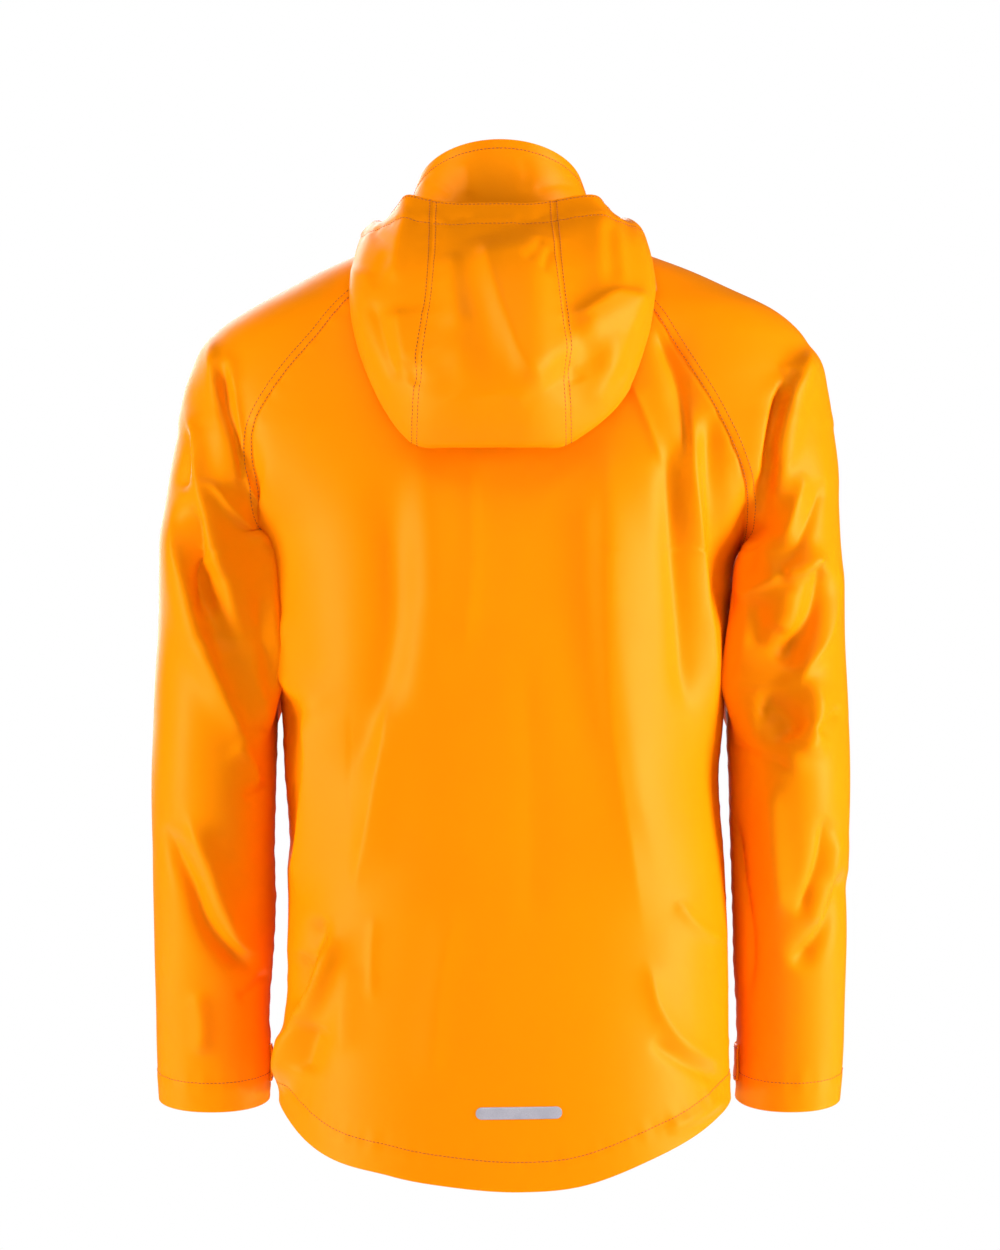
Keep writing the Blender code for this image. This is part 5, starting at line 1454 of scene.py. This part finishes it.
def body_sheets():
    """Back, front and sleeves with folds, seams and hems, and how far their points are from each seam."""
    armpits = [((side * half_width(side, ARMPIT), 0, ARMPIT), (0, 0, -1)) for side in (LEFT, RIGHT)]
    sheets = {
        "shell_back": back_sheet(),
        "shell_front": front_sheet(),
        "shell_sleeve_left": sleeve_sheet(LEFT),
        "shell_sleeve_right": sleeve_sheet(RIGHT),
    }
    calm = shared_normals(sheets, armpits)
    sheets = folded(sheets, BODY_FOLDS + LEFT_SLEEVE_FOLDS + RIGHT_SLEEVE_FOLDS, armpits)
    for name, side in (("shell_sleeve_left", LEFT), ("shell_sleeve_right", RIGHT)):
        sheets[name] = pressed(sheets[name], calm[name], side)
    sheets = folded(sheets, BODY_CREASES + SLEEVE_CREASES, armpits)
    sheets = raised(sheets, lambda name, sheet, normals: drape(sheet.points), armpits)

    back, front, sleeve_left, sleeve_right = (grid_of(sheet) for sheet in sheets.values())
    seams = {
        "raglan_back_left": back[: ARMPIT_ROW + 1, 0],
        "raglan_back_right": back[: ARMPIT_ROW + 1, -1],
        "raglan_front_left": front[: ARMPIT_ROW + 1, -1],
        "raglan_front_right": front[: ARMPIT_ROW + 1, 0],
        "side_left": back[ARMPIT_ROW:, 0],
        "side_right": back[ARMPIT_ROW:, -1],
        "sleeve_left": sleeve_left[ARMPIT_ROW:, 0],
        "sleeve_right": sleeve_right[ARMPIT_ROW:, 0],
        "hem_back": back[-1],
        "hem_front": front[-1],
        "cuff_left": sleeve_left[-1],
        "cuff_right": sleeve_right[-1],
    }
    touching = {
        "shell_back": ("raglan_back_left", "raglan_back_right", "side_left", "side_right", "hem_back"),
        "shell_front": ("raglan_front_left", "raglan_front_right", "side_left", "side_right", "hem_front"),
        "shell_sleeve_left": ("raglan_back_left", "raglan_front_left", "sleeve_left", "cuff_left"),
        "shell_sleeve_right": ("raglan_back_right", "raglan_front_right", "sleeve_right", "cuff_right"),
    }
    distances = {name: {} for name in sheets}

    def seam_heights(name, sheet, normals):
        total = np.zeros(len(sheet.points))
        for seed, seam in enumerate(touching[name]):
            distance, along = nearest_on(seams[seam], sheet.points)
            distances[name][seam] = distance
            if seam.startswith("raglan"):
                allowance = (RAGLAN_FOLD, RAGLAN_RAISE if "sleeve" in name else 0.0, RAGLAN_PUCKER)
                total += seam_relief(distance, along, *allowance, len(seam) + seed)
            elif seam.startswith(("hem", "cuff")):
                total += hem_relief(distance, along, HEM_BAND if "hem" in seam else CUFF_BAND, seed)
            else:
                total += seam_relief(distance, along, 0, 0, SIDE_PUCKER, len(seam) + seed)
        return total

    sheets = raised(sheets, seam_heights, armpits)
    return sheets, shared_normals(sheets, armpits), distances


def build_body(outside, inside, thread):
    sheets, normals, distances = body_sheets()
    for name, sheet in sheets.items():
        finished(cloth_piece(name, sheet, outside, inside), name.removeprefix("shell_"))

    def row(name, seam, away, **order):
        return contour(sheets[name], normals[name], distances[name][seam], away, **order)

    across = {"by_row": False, "from_end": True}
    raglan = []
    cuffs = []
    for side in ("left", "right"):
        name = "shell_sleeve_" + side
        for seam, from_end in (("raglan_back_", False), ("raglan_front_", True)):
            for away in (RAGLAN_STITCH, RAGLAN_FOLD):
                raglan.append(row(name, seam + side, away, from_end=from_end))
        cuffs.append(row(name, "cuff_" + side, CUFF_BAND, **across))
    hems = [row("shell_" + name, "hem_" + name, HEM_BAND, **across) for name in ("back", "front")]
    stitching("stitching_raglan", raglan, thread)
    stitching("stitching_hem", hems, thread)
    stitching("stitching_cuffs", cuffs, thread)
    return sheets, normals


def build_hood(outside, inside, thread):
    sheets = folded(hood_sheets(), HOOD_CREASES)
    left, centre, right = (grid_of(sheet) for sheet in sheets.values())
    seams = {
        "left": centre[:, 0],
        "right": centre[:, -1],
        "edge": np.concatenate([left[-1], centre[-1, 1:], right[-1, 1:]]),
    }
    distances = {name: {} for name in sheets}

    def seam_heights(name, sheet, normals):
        total = np.zeros(len(sheet.points))
        for seed, (seam, line) in enumerate(seams.items()):
            if {seam, name} in ({"left", "hood_right"}, {"right", "hood_left"}):
                continue
            distance, along = nearest_on(line, sheet.points)
            distances[name][seam] = distance
            if seam == "edge":
                total += hem_relief(distance, along, HOOD_BAND, 5)
            else:
                allowance = (HOOD_FOLD, HOOD_RAISE, HOOD_PUCKER)
                total += seam_relief(distance, along, *allowance, 11 + seed, HOOD_GROOVE)
        return total

    sheets = raised(sheets, seam_heights)
    normals = shared_normals(sheets)
    runs = []
    for name, sheet in sheets.items():
        finished(cloth_piece("shell_" + name, sheet, outside, inside), name)
        for seam, distance in distances[name].items():
            if seam == "edge":
                for away in (HOOD_EDGE_STITCH, HOOD_BAND):
                    runs.append(contour(sheet, normals[name], distance, away, by_row=False, from_end=True))
            else:
                from_end = (seam == "left") != (name == "hood_centre")
                runs.append(contour(sheet, normals[name], distance, HOOD_STITCH, from_end=from_end))
    stitching("stitching_hood", runs, thread)


def build_collar(outside, inside, thread):
    sheets = folded({"collar": collar_sheet()}, COLLAR_CREASES)
    top_edge = grid_of(sheets["collar"])[0]
    distance, _ = nearest_on(top_edge, sheets["collar"].points)
    beside = distance - COLLAR_BAND
    double = COLLAR_DOUBLE * (1 - smoothstep(beside / COLLAR_EDGE))
    dent = COLLAR_DENT * bell(beside, COLLAR_DENT_SPREAD)
    sheets = raised(sheets, lambda name, sheet, normals: double - dent)
    collar = sheets["collar"]
    grid_of(collar)[-1, :, 2] -= COLLAR_TUCK
    finished(cloth_piece("shell_collar", collar, outside, inside), "collar")
    run = contour(collar, shared_normals(sheets)["collar"], distance, COLLAR_BAND, by_row=False)
    stitching("stitching_collar", [run], thread)
    return collar


def build_strip(back, film):
    """The reflective strip: thin film with round ends, pressed onto the cloth low on the back."""
    tree = BVHTree.FromPolygons(back.points.tolist(), back.faces.tolist())
    half_length, half_height = np.array(STRIP_SIZE) / 2
    cap = STRIP_ROUND / half_length
    points = []
    for across in np.linspace(1, -1, STRIP_ROWS):
        for share in np.sin(np.radians(np.linspace(-90, 90, STRIP_COLUMNS))):
            past = max(0.0, abs(share) - (1 - cap)) / cap
            height = half_height - STRIP_ROUND * (1 - math.sqrt(max(0.0, 1 - past * past)))
            x = STRIP_MIDDLE[0] + share * half_length
            z = STRIP_MIDDLE[1] + across * height - share * half_length * STRIP_RISE
            place, normal, _, _ = tree.ray_cast(Vector((x, BEHIND_ALL, z)), Vector((0, -1, 0)))
            points.append(np.array(place) + np.array(normal) * (FILM_THICKNESS + FILM_GAP))
    grid = np.array(points).reshape(STRIP_ROWS, STRIP_COLUMNS, 3)
    piece = thin_piece("strip_reflective", grid, film, FILM_THICKNESS)
    finished(piece, "reflective_strip")


def build_cuff_tab(side, sleeve, sleeve_normals, cloth):
    """A cuff tab of doubled cloth, sewn into the sleeve's seam and lying round the cuff's inner edge."""
    grid = grid_of(sleeve)
    ways = sleeve_normals.reshape(grid.shape)
    girth = grid.shape[1] - 1
    middle = sum(CUFF_TAB_LEVELS) / 2
    half = (CUFF_TAB_LEVELS[0] - CUFF_TAB_LEVELS[1]) / 2
    points = np.zeros((TAB_ROWS, TAB_COLUMNS, 3))
    normals = np.zeros((TAB_ROWS, TAB_COLUMNS, 3))
    lengths = np.linspace(0, TAB_LENGTH, TAB_COLUMNS)
    for column, share in enumerate(np.linspace(*TAB_SHARES, TAB_COLUMNS)):
        whole, rest = divmod(share * girth, 1)
        low = int(whole) % girth
        line = grid[:, low] * (1 - rest) + grid[:, low + 1] * rest
        way = ways[:, low] * (1 - rest) + ways[:, low + 1] * rest
        short = max(0.0, 1 - lengths[column] / TAB_ROUND)
        height = half - TAB_ROUND * (1 - math.sqrt(1 - short * short))
        levels = middle + np.linspace(1, -1, TAB_ROWS) * height
        points[:, column] = read_line(-levels, -line[:, 2], line)
        normals[:, column] = read_line(-levels, -line[:, 2], way)
    normals = unit(normals)
    from_rows = np.minimum(np.arange(TAB_ROWS), np.arange(TAB_ROWS)[::-1])[:, None]
    edge = np.minimum(from_rows, np.arange(TAB_COLUMNS)[None, :])
    dent = TAB_DENT * np.exp(-((edge - TAB_SEAM) ** 2) / 0.5)
    plump = TAB_PLUMP * smoothstep(edge / TAB_SEAM) - dent
    points += normals * (TAB_THICKNESS + plump)[:, :, None]
    piece = thin_piece("tab_cuff_" + side_name(side), points, cloth, TAB_THICKNESS, flip=side > 0)
    finished(piece, "cuff_tab_" + side_name(side))
    inner = slice(TAB_SEAM, -TAB_SEAM)
    seams = ((TAB_SEAM, slice(None)), (-1 - TAB_SEAM, slice(None)), (inner, TAB_SEAM))
    return [(points[seam], normals[seam]) for seam in seams]


def zip_route(front, collar):
    """The zip's middle from the collar's top to the slit's foot, the way out of it and the cloth's droop."""
    grid = grid_of(front)
    middle = front.shape[1] // 2
    in_slit = BODY_ROWS >= ZIP_BOTTOM - 1
    neck = grid_of(collar)[:-1]
    edge = np.concatenate([neck[:, 0], grid[in_slit, middle]])
    beside = np.concatenate([neck[:, 2], grid[in_slit, middle + 1]])
    droop = (beside[:, 1] - edge[:, 1]) / (beside[:, 0] - edge[:, 0])
    length = running_length(edge[:, 1:])
    even = np.arange(0, length[-1], ZIP_STEP)
    columns = read_line(even, length, np.stack([0 * droop, edge[:, 1], edge[:, 2], droop], axis=-1)).T
    window = np.ones(ZIP_SMOOTH) / ZIP_SMOOTH
    columns = [
        np.convolve(np.pad(values, ZIP_SMOOTH // 2, "reflect", reflect_type="odd"), window, "valid")
        for values in columns
    ]
    route = np.stack(columns[:3], axis=-1)
    heading = unit(np.gradient(route, axis=0))
    ways = np.cross(heading, np.array([1.0, 0, 0]))
    ways *= -np.sign(ways[:, 1:2])
    return even, route, ways, heading, columns[3]


def build_tapes(zip_line, weave):
    """The two woven tapes behind the slit's edges, each a flat band."""
    along, route, ways, _, droop = zip_line
    kept = along > ZIP_END
    places = np.append(along[kept], along[-1] + TAPE_PAST)
    for side in (LEFT, RIGHT):
        across = np.linspace(TAPE_EDGE, ZIP_TAPE, TAPE_COLUMNS)
        if side < 0:
            across = -across[::-1]
        grid = route[kept][:, None, :] + across[None, :, None] * np.array([1.0, 0, 0])
        grid[:, :, 1] += np.abs(across)[None, :] * droop[kept][:, None]
        grid = grid - ways[kept][:, None, :] * TAPE_DEPTH
        step = (grid[-1:] - grid[-2:-1]) / ZIP_STEP
        grid = np.concatenate([grid, grid[-1:] + step * TAPE_PAST])
        lengths = np.stack(np.meshgrid(across, places), axis=-1).reshape(-1, 2)
        piece = thin_piece("tape_" + side_name(side), grid, weave, TAPE_WALL, lengths=lengths)
        finished(piece, "zip_tape_" + side_name(side))


def only(*pieces):
    """Selects these pieces and no others; the first is the active one."""
    bpy.ops.object.select_all(action="DESELECT")
    for piece in pieces:
        piece.select_set(True)
    bpy.context.view_layer.objects.active = pieces[0]


def apply_place():
    bpy.ops.object.transform_apply(location=True, rotation=True, scale=True)


def block(name, x, out, up, skin):
    """A block between two places across, out of the cloth and up, as the active object."""
    bpy.ops.object.select_all(action="DESELECT")
    low = np.array([x[0], -out[1], up[0]]) * MM
    high = np.array([x[1], -out[0], up[1]]) * MM
    bpy.ops.mesh.primitive_cube_add(size=1, location=(low + high) / 2, scale=high - low)
    piece = bpy.context.object
    piece.name = name
    apply_place()
    piece.data.materials.append(skin)
    return piece


def pick_faces(piece, test):
    """In edit mode, selects the faces whose middle and normal pass a test."""
    bpy.ops.mesh.select_all(action="DESELECT")
    shape = bmesh.from_edit_mesh(piece.data)
    for face in shape.faces:
        if test(face.calc_center_median(), face.normal):
            face.select_set(True)
    shape.select_flush_mode()
    bmesh.update_edit_mesh(piece.data)


def draw_out(way, height, share):
    """Extrudes the picked faces this far and scales their new ends."""
    value = tuple(part * height * MM for part in way)
    bpy.ops.mesh.extrude_region_move(TRANSFORM_OT_translate={"value": value})
    bpy.ops.transform.resize(value=share)


def soften(piece, width, segments=2):
    """Rounds all edges of a piece."""
    only(piece)
    bpy.ops.object.mode_set(mode="EDIT")
    bpy.ops.mesh.select_all(action="SELECT")
    bpy.ops.mesh.bevel(offset=width * MM, segments=segments, affect="EDGES", clamp_overlap=True)
    bpy.ops.object.mode_set(mode="OBJECT")
    bpy.ops.object.shade_smooth_by_angle(angle=math.radians(SMOOTH_ANGLE))


def zip_tooth(skin):
    """One moulded tooth for the wearer's left: a foot on the tape and a head that hooks past the middle."""
    tooth = block("tooth", (TOOTH_HOOK, ZIP_TEETH), TOOTH_OUT, (-TOOTH_HALF, TOOTH_HALF), skin)
    only(tooth)
    bpy.ops.object.mode_set(mode="EDIT")
    pick_faces(tooth, lambda middle, normal: normal.x < -FACING)
    draw_out((-1, 0, 0), TOOTH_HEAD, TOOTH_HEAD_SHARE)
    bpy.ops.object.mode_set(mode="OBJECT")
    soften(tooth, TOOTH_ROUND, 1)
    return tooth


def build_teeth(zip_line, skin):
    """The closed chain: the tooth copied down both tapes, half a pitch apart."""
    along, route, ways, heading, _ = zip_line
    tooth = zip_tooth(skin)
    form = np.array([corner.co for corner in tooth.data.vertices]) / MM
    faces = [tuple(face.vertices) for face in tooth.data.polygons]
    bpy.data.objects.remove(tooth)
    points = []
    polygons = []
    place = ZIP_END + TOOTH_HALF
    side = LEFT
    while place < along[-1] - ZIP_FOOT_GAP - TOOTH_HALF:
        middle, out, down = (read_line(place, along, values) for values in (route, ways, heading))
        start = len(points) * len(form)
        points.append(middle + form @ np.array([[side, 0, 0], -out, -down]))
        order = 1 if side > 0 else -1
        polygons += [tuple(start + corner for corner in face[::order]) for face in faces]
        place += TOOTH_PITCH / 2
        side = -side
    piece = new_object("teeth_zip", new_mesh("teeth_zip", np.concatenate(points), polygons, (skin,)))
    only(piece)
    bpy.ops.object.shade_smooth_by_angle(angle=math.radians(SMOOTH_ANGLE))
    finished(piece, "zip_chain")


def joined(pieces, place, lean):
    """The pieces as one object, leant and moved to its place, with that place in its mesh."""
    only(*pieces)
    bpy.ops.object.join()
    whole = bpy.context.object
    whole.rotation_euler = (-lean, 0, 0)
    whole.location = Vector(place)
    apply_place()
    return whole


def build_slider(place, lean, metal):
    """The die-cast slider: two plates on a post, and a bridge of two lugs with the pull's pin."""
    pieces = []
    for name, out in (("slider_zip", SLIDER_FRONT), ("slider_rear", SLIDER_REAR)):
        plate = block(name, (-SLIDER_HALF_WIDTH, SLIDER_HALF_WIDTH), out, (-SLIDER_HEIGHT, 0), metal)
        only(plate)
        bpy.ops.object.mode_set(mode="EDIT")
        pick_faces(plate, lambda middle, normal: normal.z < -FACING)
        bpy.ops.transform.resize(value=(SLIDER_NARROWING, 1, 1))
        bpy.ops.object.mode_set(mode="OBJECT")
        soften(plate, SLIDER_ROUND, 3)
        pieces.append(plate)
    post = block("slider_post", (-POST_HALF_WIDTH, POST_HALF_WIDTH), POST_OUT, POST_UP, metal)
    soften(post, POST_ROUND)
    pieces.append(post)
    lug_up = (-PIN_DROP - LUG_HALF_HEIGHT, -PIN_DROP + LUG_HALF_HEIGHT)
    for name, across in (("lug_left", (LUG_INNER, LUG_OUTER)), ("lug_right", (-LUG_OUTER, -LUG_INNER))):
        lug = block(name, across, (LUG_FOOT, PIN_OUT + LUG_PAST_PIN), lug_up, metal)
        soften(lug, LUG_ROUND, 3)
        pieces.append(lug)
    bpy.ops.object.select_all(action="DESELECT")
    bpy.ops.mesh.primitive_cylinder_add(
        vertices=24,
        radius=PIN_RADIUS * MM,
        depth=PIN_LENGTH * MM,
        location=(0, -PIN_OUT * MM, -PIN_DROP * MM),
        rotation=(0, math.pi / 2, 0),
    )
    pin = bpy.context.object
    pin.data.materials.append(metal)
    apply_place()
    soften(pin, PIN_ROUND, 1)
    finished(joined([*pieces, pin], place, lean), "zip_slider")


def build_pull(pin, lean, metal):
    """The pull tab: a ring round the pin, a neck, and a plate with a shallow bed on both faces."""
    thick = PULL_THICKNESS / 2
    width = (-PULL_HALF_WIDTH, PULL_HALF_WIDTH)
    plate = block("pull_zip", width, (-thick, thick), (-PULL_LENGTH, -PULL_SHOULDER), metal)
    only(plate)
    bpy.ops.object.mode_set(mode="EDIT")
    pick_faces(plate, lambda middle, normal: normal.z > FACING)
    draw_out((0, 0, 1), PULL_TAPER, PULL_TAPER_SHARE)
    draw_out((0, 0, 1), PULL_NECK, (1, 1, 1))
    for way in (1, -1):
        pick_faces(plate, lambda middle, normal: normal.y * way > FACING and middle.z < -PULL_BED_TOP * MM)
        bpy.ops.mesh.inset(thickness=PULL_RIM * MM, depth=-PULL_BED * MM)
    bpy.ops.object.mode_set(mode="OBJECT")
    soften(plate, PULL_ROUND, 2)
    bpy.ops.object.select_all(action="DESELECT")
    bpy.ops.mesh.primitive_torus_add(
        major_segments=32,
        minor_segments=12,
        major_radius=RING_RADIUS * MM,
        minor_radius=RING_THICKNESS * MM,
        rotation=(0, math.pi / 2, 0),
    )
    ring = bpy.context.object
    ring.data.materials.append(metal)
    apply_place()
    only(ring)
    bpy.ops.transform.resize(value=(RING_BREADTH, 1, 1))
    apply_place()
    bpy.ops.object.shade_smooth()
    pull = joined([plate, ring], pin, lean)
    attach(pull, "pull")
    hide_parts("zip_pull")


def build_zip(front, collar, weave, acetal, metal):
    zip_line = zip_route(front, collar)
    along, route = zip_line[:2]
    build_tapes(zip_line, weave)
    build_teeth(zip_line, acetal)
    pin = np.array(frame["record"]["behaviour"]["joints"][0]["pos_m"])
    places = np.array([0, SLIDER_HEIGHT, PIN_DROP + PULL_LENGTH]) + SLIDER_TOP
    top, below, tip = read_line(places, along, route)
    lean = math.atan2(top[1] - below[1], top[2] - below[2])
    up = np.array([0, math.sin(lean), math.cos(lean)])
    out = np.array([0, -math.cos(lean), math.sin(lean)])
    build_slider(pin + (up * PIN_DROP - out * PIN_OUT) * MM, lean, metal)
    chord = math.atan2(top[1] - tip[1], top[2] - tip[2])
    build_pull(pin, chord - math.radians(PULL_SETTLE), metal)


def slit_stitching(front, normals, thread):
    """The rows of stitches that hold the zip's tapes, on both sides of the slit and across its foot."""
    across = front.points[:, 0]
    rising = across[front.shape[1] - 1] > across[0]
    runs = []
    for side in (LEFT, RIGHT):
        from_end = rising != (side > 0)
        points, ways = contour(front, normals, side * across, SLIT_STITCH, from_end=from_end)
        kept = points[:, 2] > ZIP_BOTTOM - SLIT_STITCH + FOOT_STITCH_RISE
        runs.append((points[kept], ways[kept]))
    start, end = (points[-1] for points, _ in runs)
    shares = np.linspace(0, 1, FOOT_STITCH_PLACES)[:, None]
    tree = BVHTree.FromPolygons(front.points.tolist(), front.faces.tolist())
    placed = [tree.find_nearest(Vector(point)) for point in start * (1 - shares) + end * shares]
    runs.append((np.array([hit[0] for hit in placed]), np.array([hit[1] for hit in placed])))
    stitching("stitching_zip", runs, thread)


def build_stage():
    """A pale floor far below, soft lights as large panels, and the camera behind the garment."""
    bpy.ops.object.select_all(action="DESELECT")
    bpy.ops.mesh.primitive_circle_add(
        vertices=96, radius=FLOOR_RADIUS, fill_type="NGON", location=(0, 0, FLOOR_LEVEL)
    )
    floor = bpy.context.object
    floor.name = "floor"
    apply_place()
    made, tree, shader = new_material("pale_floor")
    connect(tree, shader, {"Base Color": colour("#F2F2F0"), "Roughness": 0.9})
    floor.data.materials.append(made)

    for name, place, size, watts in SOFTBOXES:
        light = bpy.data.lights.new(name, "AREA")
        light.shape = "RECTANGLE"
        light.size, light.size_y = size
        light.energy = watts
        lamp = new_object(name, light)
        lamp.location = place
        aim = Vector(LIGHTS_AIM) - Vector(place)
        lamp.rotation_euler = aim.to_track_quat("-Z", "Y").to_euler()

    world = bpy.data.worlds.new("studio")
    world.use_nodes = True
    tree = world.node_tree
    tree.nodes.clear()
    path = add(tree, "ShaderNodeLightPath")
    white = colour("#FFFFFF")
    room, dim, bright = (
        add(tree, "ShaderNodeBackground", {"Color": white, "Strength": strength})
        for strength in (ROOM_LIGHT, ROOM_REFLECTED, 1.0)
    )
    mixed = add(
        tree,
        "ShaderNodeMixShader",
        {0: path.outputs["Is Glossy Ray"], 1: room.outputs[0], 2: dim.outputs[0]},
    )
    shown = add(
        tree,
        "ShaderNodeMixShader",
        {0: path.outputs["Is Camera Ray"], 1: mixed.outputs[0], 2: bright.outputs[0]},
    )
    add(tree, "ShaderNodeOutputWorld", {"Surface": shown.outputs[0]})
    bpy.context.scene.world = world
    bpy.context.scene.view_settings.view_transform = "Standard"

    lens = bpy.data.cameras.new("camera")
    lens.lens = CAMERA_LENS
    lens.sensor_fit = "VERTICAL"
    lens.sensor_height = CAMERA_SENSOR
    camera = new_object("camera", lens)
    camera.location = (0, VIEW_DISTANCE * MM, VIEW_LEVEL * MM)
    camera.rotation_euler = (math.pi / 2, 0, math.pi)
    bpy.context.scene.camera = camera


def main():
    outside = coated_knit()
    inside = knit_backing()
    thread = sewing_thread()
    body, normals = build_body(outside, inside, thread)
    build_hood(outside, inside, thread)
    collar = build_collar(outside, inside, thread)
    stitches = []
    for side in (LEFT, RIGHT):
        name = "shell_sleeve_" + side_name(side)
        stitches += build_cuff_tab(side, body[name], normals[name], outside)
    stitching("stitching_tabs", stitches, thread)
    build_strip(body["shell_back"], reflective_film())
    build_zip(body["shell_front"], collar, woven_tape(), moulded_acetal(), painted_zinc())
    slit_stitching(body["shell_front"], normals["shell_front"], thread)
    build_stage()


main()
